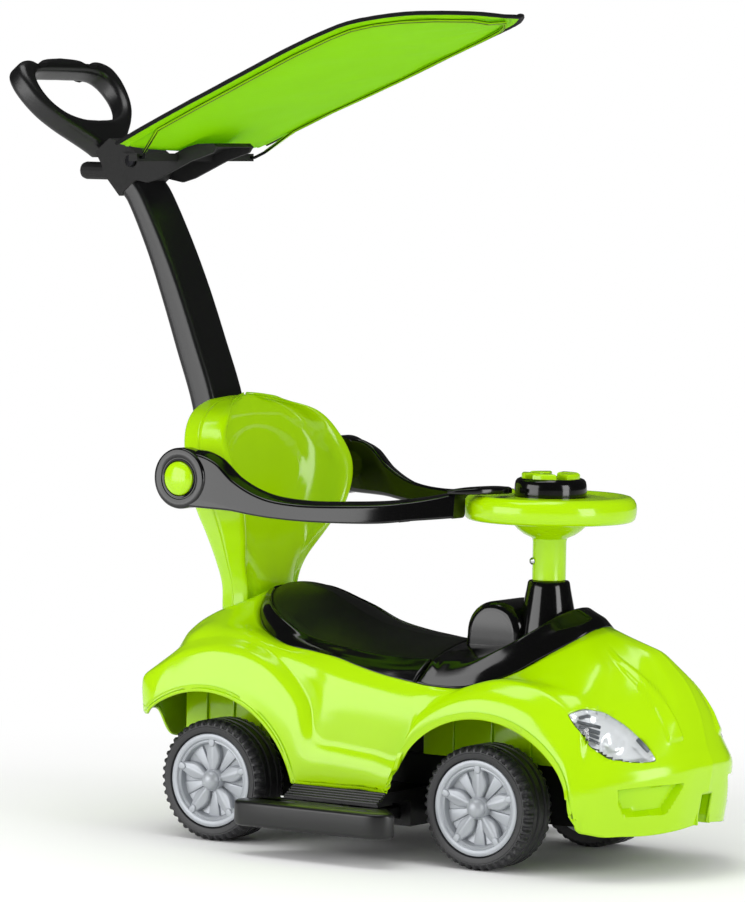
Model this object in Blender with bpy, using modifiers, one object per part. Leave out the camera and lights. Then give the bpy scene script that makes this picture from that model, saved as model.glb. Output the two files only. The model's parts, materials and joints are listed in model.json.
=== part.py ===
"""Foot-to-floor ride-on car with guard rails, push pole and canopy, as separate pieces.

Metres. +X is forward, +Y is the car's left and +Z is up. Y = 0 is the symmetry plane and Z = 0
is the floor. Pieces are drawn in the chassis frame, whose X = 0 is midway between the axles, and
the chassis stands so that the finished part's X = 0 is the middle of its whole length. Feature
lines are written in millimetres, along the car from the nearer axle, and MM turns them into metres.
"""

import math

import bmesh
import bpy
from mathutils import Matrix, Vector

MM = 0.001

# Clearances and walls
GAP = 0.0004
WALL = 0.003
TUB_WALL = 0.0025

# Wheels and axles
WHEELBASE = 0.362
WHEEL_RADIUS = 0.070
TYRE_WIDTH = 0.056
TRACK = 0.238
RIM_RADIUS = 0.0543
AXLE_RADIUS = 0.004
AXLE_INNER_REACH = 0.0026
AXLE_END_BEYOND_WEB = 0.007
PUSH_NUT_RADIUS = 0.0075
PUSH_NUT_LENGTH = 0.004
HUB_BOSS_RADIUS = 0.0125
HUB_WEB_INSET = 0.013
HUB_WEB_THICKNESS = 0.004
CAP_RADIUS = 0.0115
CAP_HEIGHT = 0.009
SPOKES = 5

# Chassis frame: its zero plane lies on the floor while the axle height is the wheel radius,
# and its zero lies this far ahead of the middle of the whole length
AXLE_Z = 0.070
CHASSIS_AHEAD = 0.06885
REAR_X = -WHEELBASE / 2
FRONT_X = WHEELBASE / 2

# Body shell
BODY_HALF_WIDTH = 0.150
REAR_ARCH_CENTRE = (-0.009, 0.045)
FRONT_ARCH_CENTRE = (0.005, 0.043)
ARCH_RADIUS = 0.127
WHEEL_HOUSE_Y = 0.0605
WHEEL_HOUSE_FOOT_Z = 0.113
NOTCH_HALF_WIDTH = 0.012
NOTCH_TOP_Z = 0.090
LENS_SHARE = 0.985
REFLECTOR_SHARE = 1.10

# Underbody
PAN_HALF_WIDTH = 0.052
PAN_TOP_Z = 0.112
PAN_FOOT_Z = 0.046
PAN_REAR = 0.080
PAN_FRONT = 0.112
AXLE_TUBE_RADIUS = 0.017
AXLE_TUBE_HALF_LENGTH = 0.088
SILL_HALF_LENGTH = 0.064
SILL_LOW_Z = 0.0645
SILL_TOP_Z = 0.0766
SKIRT_TOP_Y = 0.146
SKIRT_FOOT_Y = 0.166
CHANNEL_HALF_WIDTH = 0.098
CHANNEL_FOOT_Z = 0.034

# Footrests
STEP_TRAVEL = 0.050
STEP_OUTER_Y = 0.215
STEP_INNER_Y = CHANNEL_HALF_WIDTH + STEP_TRAVEL + 0.002
STEP_INNER_HALF_LENGTH = 0.068
STEP_OUTER_HALF_LENGTH = 0.106
STEP_TOP_Z = 0.062
STEP_HEIGHT = 0.029
STEP_REBATE = 0.001
TONGUE_HALF_LENGTH = 0.0495
TONGUE_TOP_Z = 0.0560
TONGUE_THICKNESS = 0.014
TONGUE_INNER_Y = 0.066

# Steering
KINGPIN_Y = 0.075
KINGPIN_RADIUS = 0.005
CRANK = 0.035
ROD_RADIUS = 0.004
TIE_ROD_Z = 0.0485
TIE_ROD_THICKNESS = 0.005
PIN_RADIUS = 0.003
SLOT_SIDE_CLEARANCE = 0.0007
SLOT_HALF_LENGTH = 0.0062
BEAM_LOW_Z = 0.096
BEAM_HALF_LENGTH = 0.084
BEAM_HALF_DEPTH = 0.012
STEERING_LIMIT = math.radians(25)

# Steering wheel
STEERING_RADIUS = 0.098
STEERING_RIM_LOW_Z = 0.383
STEERING_RIM_TOP_Z = 0.412
SLEEVE_RADIUS = 0.019
COLLAR_TOP_Z = 0.3152
COLLAR_TOP_RADIUS = 0.0235
COLLAR_FOOT_RADIUS = 0.034
COLLAR_FOOT_Z = 0.245
PAD_RADIUS = 0.041
PAD_TOP_Z = 0.431
HORN_BUTTONS = 5
HORN_TRAVEL = 0.0015
SOUND_BOX_HALF = (0.024, 0.019)

# Seat lid
SEAM_BEHIND_AXLE = 0.093
SEAM_X = FRONT_X - SEAM_BEHIND_AXLE
SEAM_GROOVE = 0.0035
SEAT_HINGE_Z = 0.231
SEAT_HINGE_AHEAD = 0.007
SEAT_PIN_RADIUS = 0.0025
SEAT_PIN_HALF_LENGTH = 0.060

# Push pole and backrest
POLE_HALF_WIDTH = 0.033
SPIGOT_HALF_WIDTH = 0.024
GUARD_PIVOT_X = -0.029
GUARD_PIVOT_Z = 0.418
GUARD_DISC_RADIUS = 0.035
GUARD_BUTTON_RADIUS = 0.0195
GUARD_PRESS = 0.004
GUARD_OUTER_Y = 0.1765
GUARD_WIDTH = 0.024
GUARD_PIN_RADIUS = 0.006

# Handle: half width and height above the pole's end, of one side of its outline and of its opening
HANDLE_FOOT = 0.0635
HANDLE_SET_BACK = 0.015
HANDLE_HALF_DEPTH = 0.014
HANDLE_PROFILE = (
    (0.022, HANDLE_FOOT),
    (0.030, 0.072),
    (0.046, 0.086),
    (0.066, 0.103),
    (0.084, 0.124),
    (0.094, 0.148),
    (0.096, 0.170),
    (0.090, 0.186),
    (0.076, 0.194),
    (0.062, 0.195),
    (0.050, 0.190),
    (0.034, 0.197),
    (0.0, 0.200),
)
HANDLE_OPENING = (
    (0.0, 0.106),
    (0.030, 0.108),
    (0.055, 0.117),
    (0.070, 0.132),
    (0.075, 0.150),
    (0.071, 0.168),
    (0.060, 0.177),
    (0.0, 0.180),
)

# Canopy
CANOPY_THICKNESS = 0.0016
CANOPY_WIRE_RADIUS = 0.002
CANOPY_WIRE_INSET = 0.017
WIRE_NOSE_HALF_WIDTH = 0.012
BINDING_RADIUS = 0.003
CANOPY_PIVOT = (-0.204, 0.777)
CHEEK_THICKNESS = 0.0045
CHEEK_SWING_RADIUS = 0.025
CANOPY_BOLT_RADIUS = 0.004
CROSSBAR_HALF_LENGTH = 0.118
CROSSBAR_X = -0.143
CROSSBAR_Z = 0.7825
KNOB_RADIUS = 0.0105
KNOB_Z = 0.764
KNOB_END_X = -0.303


def metres(points):
    return [Vector(point) * MM for point in points]


def new_collection(name):
    collection = bpy.data.collections.new(name)
    bpy.context.scene.collection.children.link(collection)
    return collection


for leftover in list(bpy.data.objects):
    bpy.data.objects.remove(leftover, do_unlink=True)

PARTS = new_collection("foot_to_floor_ride_on_car")
CUTTERS = new_collection("cutters")

CHASSIS = bpy.data.objects.new("chassis", None)
CHASSIS.location = (CHASSIS_AHEAD, 0.0, WHEEL_RADIUS - AXLE_Z)
PARTS.objects.link(CHASSIS)


def channel(value):
    """One sRGB channel, 0 to 255, as a linear value."""
    share = value / 255
    if share <= 0.04045:
        return share / 12.92
    return ((share + 0.055) / 1.055) ** 2.4


def finish(name, colour, roughness, metallic=0.0, transmission=0.0):
    material = bpy.data.materials.new(name)
    material.use_nodes = True
    shader = material.node_tree.nodes["Principled BSDF"]
    red, green, blue = (int(colour[at:at + 2], 16) for at in (0, 2, 4))
    shader.inputs["Base Color"].default_value = (channel(red), channel(green), channel(blue), 1.0)
    shader.inputs["Roughness"].default_value = roughness
    shader.inputs["Metallic"].default_value = metallic
    shader.inputs["Transmission Weight"].default_value = transmission
    return material


LIME = finish("lime_plastic", "9BE400", 0.22)
GLOSS_BLACK = finish("gloss_black_plastic", "0C0C0D", 0.18)
SATIN_BLACK = finish("satin_black_plastic", "1B1B1D", 0.42)
TYRE_BLACK = finish("tyre_black_plastic", "232325", 0.55)
SILVER = finish("silver_plastic", "A9ADB1", 0.38, 0.2)
STEEL = finish("zinc_steel", "C4C6C8", 0.3, 1.0)
CHROME = finish("chromed_plastic", "DADDE0", 0.12, 1.0)
CLEAR = finish("clear_plastic", "F2F6F8", 0.05, 0.0, 0.9)
FABRIC = finish("lime_polyester", "8EE600", 0.8)
BINDING = finish("black_polyester", "151516", 0.85)


def add(name, mesh, material, cutter=False):
    """One object in the chassis frame."""
    item = bpy.data.objects.new(name, mesh)
    item.parent = CHASSIS
    if cutter:
        CUTTERS.objects.link(item)
        item.hide_render = True
        item.display_type = "WIRE"
    else:
        PARTS.objects.link(item)
        item.data.materials.append(material)
    return item


def add_bmesh(name, bm, material, cutter=False):
    mesh = bpy.data.meshes.new(name)
    bm.to_mesh(mesh)
    bm.free()
    return add(name, mesh, material, cutter)


def smooth(item, angle=35):
    item.data.shade_smooth()
    item.data.set_sharp_from_angle(angle=math.radians(angle))
    return item


def set_origin(item, point):
    """Moves the object's origin to a point, with its shape left in place."""
    item.data.transform(Matrix.Translation(-Vector(point)))
    item.location = point
    return item


def boolean(item, other, operation):
    modifier = item.modifiers.new(operation.lower() + "_" + other.name, "BOOLEAN")
    modifier.operation = operation
    modifier.solver = "EXACT"
    modifier.object = other
    return item


def cut(item, other):
    return boolean(item, other, "DIFFERENCE")


def join(item, other):
    return boolean(item, other, "UNION")


def bevel(item, width, segments=2, angle=35):
    modifier = item.modifiers.new("rounded_edges", "BEVEL")
    modifier.width = width
    modifier.segments = segments
    modifier.limit_method = "ANGLE"
    modifier.angle_limit = math.radians(angle)
    return item


def block(name, low, high, material=None, rounding=0.0, segments=2):
    """A box between two corners. Without a material it is a cutter."""
    low = Vector(low)
    high = Vector(high)
    bm = bmesh.new()
    bmesh.ops.create_cube(bm, size=1.0)
    size = Matrix.Diagonal(high - low).to_4x4()
    bmesh.ops.transform(bm, matrix=Matrix.Translation((low + high) / 2) @ size, verts=bm.verts)
    item = add_bmesh(name, bm, material, material is None)
    if rounding:
        bevel(item, rounding, segments)
    return item


def rod(name, start, end, radius, material=None, end_radius=None, sides=24):
    """A round bar, or a cone, between two points. Without a material it is a cutter."""
    start = Vector(start)
    end = Vector(end)
    turn = (end - start).to_track_quat("Z", "Y").to_matrix().to_4x4()
    bm = bmesh.new()
    bmesh.ops.create_cone(
        bm,
        cap_ends=True,
        segments=sides,
        radius1=radius,
        radius2=radius if end_radius is None else end_radius,
        depth=(end - start).length,
        matrix=Matrix.Translation((start + end) / 2) @ turn,
    )
    return smooth(add_bmesh(name, bm, material, material is None))


def turned(name, profile, place, material=None, steps=24):
    """A profile of (radius, height) points, from the top down its outer side, turned about place's Z."""
    mesh = bpy.data.meshes.new(name)
    points = [(radius, 0.0, height) for radius, height in profile]
    edges = [(at, at + 1) for at in range(len(points) - 1)]
    if profile[0][0] > 0 and profile[-1][0] > 0:
        edges.append((len(points) - 1, 0))
    mesh.from_pydata(points, edges, [])
    item = add(name, mesh, material, material is None)
    item.matrix_local = place
    screw = item.modifiers.new("turned", "SCREW")
    screw.steps = steps
    screw.render_steps = steps
    screw.use_merge_vertices = True
    screw.merge_threshold = 1e-5
    screw.use_smooth_shade = True
    return item


def outline_plate(name, outline, half_thickness, place, material=None, rounding=0.0, holes=()):
    """A flat outline with its thickness along place's Z, made a mesh so that it can be cut or joined."""
    curve = bpy.data.curves.new(name, "CURVE")
    curve.dimensions = "2D"
    curve.fill_mode = "BOTH"
    curve.extrude = half_thickness - rounding
    curve.bevel_depth = rounding
    curve.bevel_resolution = 1 if rounding else 0
    curve.offset = -rounding
    for points in (outline, *holes):
        spline = curve.splines.new("POLY")
        spline.points.add(len(points) - 1)
        for point, (x, y) in zip(spline.points, points):
            point.co = (x, y, 0.0, 1.0)
        spline.use_cyclic_u = True
    guide = bpy.data.objects.new(name + "_outline", curve)
    bpy.context.scene.collection.objects.link(guide)
    bpy.context.view_layer.update()
    graph = bpy.context.evaluated_depsgraph_get()
    mesh = bpy.data.meshes.new_from_object(guide.evaluated_get(graph))
    bpy.data.objects.remove(guide, do_unlink=True)
    bm = bmesh.new()
    bm.from_mesh(mesh)
    bmesh.ops.remove_doubles(bm, verts=bm.verts, dist=1e-6)
    bmesh.ops.transform(bm, matrix=place, verts=bm.verts)
    bmesh.ops.recalc_face_normals(bm, faces=bm.faces)
    bpy.data.meshes.remove(mesh)
    return add_bmesh(name, bm, material, material is None)


def tube(name, points, radius, material, closed=False, sides_resolution=2):
    """A bent round bar through the points."""
    curve = bpy.data.curves.new(name, "CURVE")
    curve.dimensions = "3D"
    curve.bevel_depth = radius
    curve.bevel_resolution = sides_resolution
    curve.use_fill_caps = not closed
    spline = curve.splines.new("POLY")
    spline.points.add(len(points) - 1)
    for at, point in zip(spline.points, points):
        at.co = (*point, 1.0)
    spline.use_cyclic_u = closed
    spline.use_smooth = True
    item = bpy.data.objects.new(name, curve)
    item.parent = CHASSIS
    PARTS.objects.link(item)
    curve.materials.append(material)
    return item


def sheet_faces(bm, columns, wrap=False):
    """Quads between columns of points that run along the car, each from the bottom edge up."""
    grid = [[bm.verts.new(point) for point in column] for column in columns]
    pairs = list(zip(grid, grid[1:]))
    if wrap:
        pairs.append((grid[-1], grid[0]))
    for here, ahead in pairs:
        for low in range(len(here) - 1):
            bm.faces.new((here[low], here[low + 1], ahead[low + 1], ahead[low]))


def mirrored_sheet(name, columns, material, wall=WALL, sunk=0.0, cutter=False, matched=False):
    """A left half of a surface, mirrored to the right and given a wall inwards.

    Matched sheets share their diagonals, so that one can lie closely behind another.
    """
    bm = bmesh.new()
    sheet_faces(bm, columns)
    item = add_bmesh(name, bm, material, cutter)
    item.data.shade_smooth()
    mirror = item.modifiers.new("right_half", "MIRROR")
    mirror.use_axis = (False, True, False)
    mirror.use_clip = True
    mirror.merge_threshold = 1e-5
    if matched:
        item.modifiers.new("same_diagonals", "TRIANGULATE").quad_method = "FIXED"
    if sunk:
        displace = item.modifiers.new("sunk", "DISPLACE")
        displace.strength = -sunk
        displace.mid_level = 0.0
    solidify = item.modifiers.new("wall", "SOLIDIFY")
    solidify.thickness = wall
    solidify.offset = -1.0
    return item


def swept(name, stations, section, material, caps=True):
    """A closed section swept along the stations. section gives each station's loop of points."""
    bm = bmesh.new()
    loops = [[bm.verts.new(point) for point in section(station)] for station in stations]
    for here, ahead in zip(loops, loops[1:]):
        for at in range(len(here)):
            after = (at + 1) % len(here)
            bm.faces.new((here[at], here[after], ahead[after], ahead[at]))
    if caps:
        bm.faces.new(reversed(loops[0]))
        bm.faces.new(loops[-1])
    bmesh.ops.recalc_face_normals(bm, faces=bm.faces)
    return add_bmesh(name, bm, material)


def facing(side):
    """Turns a piece that is turned about Z to look outwards along Y on one side."""
    return Matrix.Rotation(math.radians(-90 * side), 4, "X")


def mixed(start, end, share):
    return Vector(start).lerp(Vector(end), share)


# Feature lines of the left side, from the rear centre to the nose centre, in millimetres.
# Each column gives the shell's edge, crown, valley, waist, flank, shoulder and belt.
# Along the car they are measured from the rear axle, from the middle, or from the front axle.

REAR_COLUMNS = (
    ((-118, 0, 106), (-124, 0, 184), (-91, 0, 215), (-84, 0, 234), (-71, 0, 247), (-55, 0, 257), (-3, 0, 283)),
    ((-119, 58, 106), (-124, 58, 184), (-90, 55, 215), (-83, 53, 233), (-70, 51, 246), (-55, 48, 256), (1, 30, 283)),
    ((-116, 92, 139), (-120, 94, 182), (-87, 87, 213), (-79, 82, 231), (-66, 76, 245), (-48, 66, 257), (8, 50, 280)),
    ((-108, 129, 141), (-109, 130, 182), (-72, 109, 215), (-64, 103, 231), (-52, 96, 243), (-32, 82, 256), (11, 62, 272)),
    ((-89, 147, 144), (-85, 142, 191), (-52, 121, 224), (-44, 116, 236), (-34, 108, 245), (-16, 94, 253), (16, 74, 261)),
    ((-57, 149, 163), (-49, 142, 212), (-24, 124, 232), (-18, 120, 239), (-10, 114, 245), (4, 105, 248), (28, 86, 248)),
    ((2, 149, 171), (8, 142, 224), (19, 126, 235), (24, 124, 238), (30, 120, 241), (38, 112, 242), (46, 98, 240)),
    ((54, 149, 155), (69, 143, 211), (80, 131, 217), (81, 130, 219), (81, 128, 223), (81, 124, 228), (81, 115, 231)),
    ((91, 149, 123), (119, 146, 165), (130, 136, 171), (130, 136, 185), (129, 135, 202), (128, 130, 216), (127, 121, 226)),
    ((113, 148, 81), (137, 149, 119), (147, 143, 131), (151, 143, 152), (156, 142, 178), (159, 138, 204), (161, 126, 222)),
)
MIDDLE_COLUMNS = (
    ((-20, 147, 77), (-5, 149, 113), (0, 143, 125), (4, 143, 148), (7, 143, 172), (9, 140, 197), (10, 129, 215)),
    ((25, 147, 78), (38, 149, 109), (43, 143, 121), (44, 143, 144), (45, 143, 167), (45, 141, 190), (45, 131, 208)),
)
FRONT_COLUMNS = (
    ((-116, 148, 80), (-108, 149, 106), (-103, 143, 118), (-100, 143, 141), (-97, 143, 162), (-95, 141, 184), (-92, 132, 202)),
    ((-94, 150, 128), (-84, 149, 156), (-81, 144, 164), (-80, 142, 173), (-79, 140, 183), (-78, 137, 193), (-76, 131, 200)),
    ((-48, 151, 161), (-41, 147, 186), (-37, 136, 196), (-35, 131, 199), (-34, 129, 200), (-32, 126, 200), (-31, 122, 200)),
    ((4, 152, 170), (10, 146, 199), (15, 130, 212), (16, 122, 214), (16, 114, 213), (15, 104, 214), (12, 90, 217)),
    ((60, 151, 155), (67, 144, 188), (72, 127, 205), (71, 114, 208), (68, 100, 211), (62, 82, 222), (45, 60, 241)),
    ((105, 149, 121), (112, 143, 150), (120, 131, 170), (118, 112, 192), (112, 90, 207), (100, 62, 231), (66, 38, 257)),
    ((125, 148, 62), (133, 145, 113), (136, 137, 129), (136, 114, 164), (132, 90, 193), (117, 54, 228), (72, 25, 263)),
    ((149, 134, 51), (158, 130, 113), (156, 123, 130), (152, 98, 165), (146, 73, 196), (128, 40, 231), (74, 18, 265)),
    ((169, 110, 50), (181, 106, 116), (176, 100, 133), (170, 78, 166), (161, 56, 200), (137, 29, 236), (76, 12, 266)),
    ((186, 84, 50), (200, 78, 120), (193, 74, 136), (184, 56, 172), (172, 38, 205), (142, 19, 240), (77, 8, 267)),
    ((201, 52, 53), (213, 48, 123), (205, 45, 139), (195, 34, 177), (180, 23, 210), (146, 11, 243), (77, 4, 267)),
    ((207, 0, 58), (219, 0, 124), (211, 0, 141), (200, 0, 181), (184, 0, 213), (148, 0, 245), (77, 0, 267)),
)

# Outline of the left headlight, from its rear tip over the top, measured from the front axle.
HEADLIGHT_OUTLINE = (
    (107, 129, 182), (115, 118, 187), (125, 109, 188), (136, 101, 187), (148, 95, 180), (159, 91, 173),
    (171, 88, 164), (184, 85, 153), (192, 84, 144), (197, 85, 138), (189, 94, 135), (177, 105, 134),
    (165, 114, 135), (156, 121, 137), (146, 125, 144), (135, 128, 151), (126, 129, 161), (116, 130, 170),
)
HEADLIGHT_LOOKING = (0.566, 0.662, 0.491)
HEADLIGHT_DEPTH = 0.020

# The dash cowl continues inwards from the belt: belt, face, ridge, scoop, inner line and spine.
COWL_COLUMNS = (
    ((-76, 131, 200.5), (-74, 123, 208), (-73, 113, 217), (-74, 103, 226), (-78, 62, 237), (-80, 0, 243)),
    ((-31, 122, 200.5), (-37, 112, 213), (-42, 99, 226), (-48, 88, 230), (-54, 52, 239), (-58, 0, 244)),
    ((-10, 106, 207.5), (-10, 92, 226), (-13, 78, 244), (-20, 70, 238), (-28, 46, 243), (-34, 0, 247)),
    ((12, 90, 217.6), (11, 78, 237), (6, 66, 257), (-1, 60, 246), (-6, 44, 248), (-10, 0, 252)),
    ((28, 75, 229.6), (26, 63, 250), (22, 50, 270), (15, 46, 256), (11, 36, 256), (8, 0, 257)),
    ((45, 60, 241.6), (42, 48, 262), (33, 35, 280), (26, 30, 266), (22, 24, 263), (19, 0, 261)),
    ((66, 38, 257.6), (60, 28, 272), (41, 20, 286), (32, 17, 272), (28, 14, 267), (25, 0, 265)),
    ((72, 25, 263.6), (66, 15, 276), (43, 10, 287.5), (34, 9, 274), (31, 8, 268), (28, 0, 266)),
    ((77, 0, 267.6), (68, 0, 278), (44, 0, 288), (35, 0, 275), (32, 0, 269), (30, 0, 267)),
)

# The seat lid continues inwards from the same belt: belt, bead and spine, from the rear axle.
SEAT_REAR = (
    ((-3, 0, 283), (3, 0, 286.5), (16, 0, 289)),
    ((1, 30, 283.5), (7, 32, 286), (23, 0, 290)),
    ((8, 50, 280), (16, 50, 284), (33, 0, 290)),
    ((11, 62, 272), (24, 65, 281), (43, 0, 288.5)),
    ((16, 74, 261), (33, 79, 275), (55, 0, 286)),
    ((28, 86, 248), (45, 91, 267), (68, 0, 282)),
    ((46, 98, 240), (63, 100, 258), (85, 0, 274)),
    ((81, 115, 231), (96, 105, 242.5), (109, 0, 263)),
    ((127, 121, 226), (135, 107, 234), (139, 0, 252)),
    ((161, 126, 222), (166, 108, 230), (169, 0, 246)),
)
SEAT_FRONT = (
    ((10, 129, 215), (12, 108, 227), (14, 0, 243)),
    ((45, 131, 208), (45, 107, 225), (40, 0, 241)),
)

# Seam between seat lid and cowl, from the belt to the middle, measured from the front axle.
SEAM = ((-93, 131.5, 202), (-91, 118, 215), (-91, 106, 225.5), (-93, 78, 233), (-96, 44, 238.5), (-101, 0, 242))

# Backrest: height, half width, rear edge, front edge, front centre, from the rear axle.
BACKREST = (
    (286, 57, -54, -16, -8),
    (311, 68, -55, -13, -11),
    (347, 92, -55, 2, -21),
    (381, 115, -55, 14, -31),
    (425, 132, -56, 10, -36),
    (462, 124, -65, -7, -40),
    (486, 98, -74, -19, -48),
    (500, 52, -81, -41, -55),
)
BACKREST_FOOT = (58, -53, -15, -7)
DECK_SLOPE = 0.5

# Push pole: height, middle and depth, from the rear axle.
POLE = (
    (352, -76, 34),
    (400, -84, 34),
    (450, -92, 34),
    (497, -101, 34),
    (564, -126, 33),
    (625, -150, 31),
    (679, -174, 28),
    (735, -204, 26),
    (745, -212, 26),
)

# Guard arm: along the car from the rear axle, outer face, foot and top.
GUARD_STATIONS = (
    (-14, 176.5, 386, 453),
    (0, 175.5, 385.5, 451.5),
    (18, 174, 385, 444),
    (40, 171, 384, 425),
    (62, 168, 381, 413),
    (85, 164, 378.5, 405.5),
    (123, 157, 376.5, 401.5),
    (174, 148, 376.5, 402.5),
)
GUARD_FRONT_STATIONS = (
    (-140, 136, 378.5, 405.5),
    (-108, 124, 382.5, 410),
    (-84, 113, 385, 415),
    (-66, 102, 387, 420),
)
GUARD_TONGUE = (
    (-74, 103, 414.2, 419),
    (-58, 98, 414.2, 422),
    (-44, 84, 414.2, 423.5),
    (-36, 66, 414.2, 423.5),
    (-33, 47, 414.2, 422),
)

# Canopy bracket seen from the side: along the car from the rear axle, height.
BRACKET_OUTLINE = (
    (-219, 786), (-149, 784), (-141, 787.2), (-124, 794.8), (-108, 799), (-86, 800), (-81, 796),
    (-86, 789), (-119, 778), (-164, 757), (-181, 752), (-204, 756), (-219, 768),
)

# Canopy edge on one side: along the car from the rear axle, half width, height.
CANOPY_EDGE = (
    (-141, 150, 799.5),
    (-94, 155, 821),
    (-44, 158, 843.5),
    (6, 163, 864.5),
    (56, 167, 886),
    (106, 169, 908),
    (156, 168, 928.5),
    (184, 163, 939),
    (210, 147, 946),
    (233, 120, 951),
    (256, 84, 953),
    (281, 43, 953),
    (296, 14, 951),
)
CANOPY_SAG = 9


def along(points, datum):
    """Feature points in millimetres as positions in the chassis frame."""
    scale = BODY_HALF_WIDTH / 0.150
    return [Vector((datum + x * MM, y * MM * scale, z * MM)) for x, y, z in points]


def shell_rows(points):
    """Nine rows of one shell column: the feature points, with a lip and a face between edge and crown."""
    edge, crown, valley, waist, flank, shoulder, belt = points
    lip = mixed(edge, crown, 0.16)
    face = mixed(edge, crown, 0.62)
    outwards = Vector((0.0, 1.0 if crown.y > 0 else 0.0, 0.0))
    lip += outwards * 0.0015
    face += outwards * 0.0025
    return [edge, lip, face, crown, valley, waist, flank, shoulder, belt]


def body_columns():
    columns = [along(points, REAR_X) for points in REAR_COLUMNS]
    columns += [along(points, 0.0) for points in MIDDLE_COLUMNS]
    columns += [along(points, FRONT_X) for points in FRONT_COLUMNS]
    return [shell_rows(points) for points in columns]


def shell_underside(item, x, y, low):
    """The height at which a line straight up meets the shell."""
    graph = bpy.context.evaluated_depsgraph_get()
    shape = item.evaluated_get(graph)
    found, place, _, _ = shape.ray_cast(Vector((x, y, low)), Vector((0.0, 0.0, 1.0)))
    return place.z if found else None


def wheel_house_wall(name, shell, side, first_x, last_x, steps=6):
    """An upright wall between wheel house and cabin, whose top lies within the shell's skin."""
    spaced = [first_x + (last_x - first_x) * at / (steps - 1) for at in range(steps)]
    tops = [(x, shell_underside(shell, x, side * WHEEL_HOUSE_Y, WHEEL_HOUSE_FOOT_Z)) for x in spaced]
    tops = [(x, top + WALL / 2) for x, top in tops if top is not None]
    outline = [(tops[0][0], WHEEL_HOUSE_FOOT_Z), (tops[-1][0], WHEEL_HOUSE_FOOT_Z)]
    outline += list(reversed(tops))
    upright = Matrix.Translation((0.0, side * WHEEL_HOUSE_Y, 0.0)) @ Matrix.Rotation(math.radians(90), 4, "X")
    return outline_plate(name, outline, WALL / 2, upright)


def headlight_prism(name, side, grow):
    """The almond outline of a headlight, run through the skin along its own direction."""
    outline = [Vector((point.x, side * point.y, point.z)) for point in along(HEADLIGHT_OUTLINE, FRONT_X)]
    centre = sum(outline, Vector()) / len(outline)
    looking = Vector((HEADLIGHT_LOOKING[0], side * HEADLIGHT_LOOKING[1], HEADLIGHT_LOOKING[2])).normalized()
    bm = bmesh.new()
    rims = []
    for depth in (-HEADLIGHT_DEPTH, HEADLIGHT_DEPTH):
        rims.append([bm.verts.new(centre + (point - centre) * grow + looking * depth) for point in outline])
    for at in range(len(outline)):
        after = (at + 1) % len(outline)
        bm.faces.new((rims[0][at], rims[0][after], rims[1][after], rims[1][at]))
    bm.faces.new(rims[0])
    bm.faces.new(rims[1])
    bmesh.ops.recalc_face_normals(bm, faces=bm.faces)
    return add_bmesh(name, bm, None, True)


def build_body():
    columns = body_columns()
    shell = mirrored_sheet("body_shell", columns, LIME, matched=True)
    wider = [column[:-1] + [column[-1] + (column[-1] - column[-2]).normalized() * GAP] for column in columns]
    mirrored_sheet("shell_clearance", wider, None, WALL + GAP * 2, -GAP, cutter=True, matched=True)
    bpy.context.view_layer.update()
    for side, word in ((-1, "right"), (1, "left")):
        join(shell, wheel_house_wall(f"front_wall_{word}", shell, side, FRONT_X - 0.086, FRONT_X + 0.120))
        join(shell, wheel_house_wall(f"rear_wall_{word}", shell, side, REAR_X - 0.100, REAR_X + 0.085))
    for side, word in ((-1, "right"), (1, "left")):
        cut(shell, headlight_prism(f"headlight_hole_{word}", side, 1.0))
    nose_x = max(point.x for point in columns[-1])
    notch_low = (nose_x - 0.045, -NOTCH_HALF_WIDTH, 0.030)
    notch_high = (nose_x + 0.010, NOTCH_HALF_WIDTH, NOTCH_TOP_Z)
    cut(shell, block("nose_notch", notch_low, notch_high))
    for side, word in ((-1, "right"), (1, "left")):
        lens = mirrored_sheet(f"headlight_lens_{word}", columns, CLEAR, matched=True)
        boolean(lens, headlight_prism(f"lens_outline_{word}", side, LENS_SHARE), "INTERSECT")
        sunk = WALL + GAP
        reflector = mirrored_sheet(f"headlight_reflector_{word}", columns, CHROME, 0.002, sunk, matched=True)
        boolean(reflector, headlight_prism(f"reflector_outline_{word}", side, REFLECTOR_SHARE), "INTERSECT")
    return shell


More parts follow.
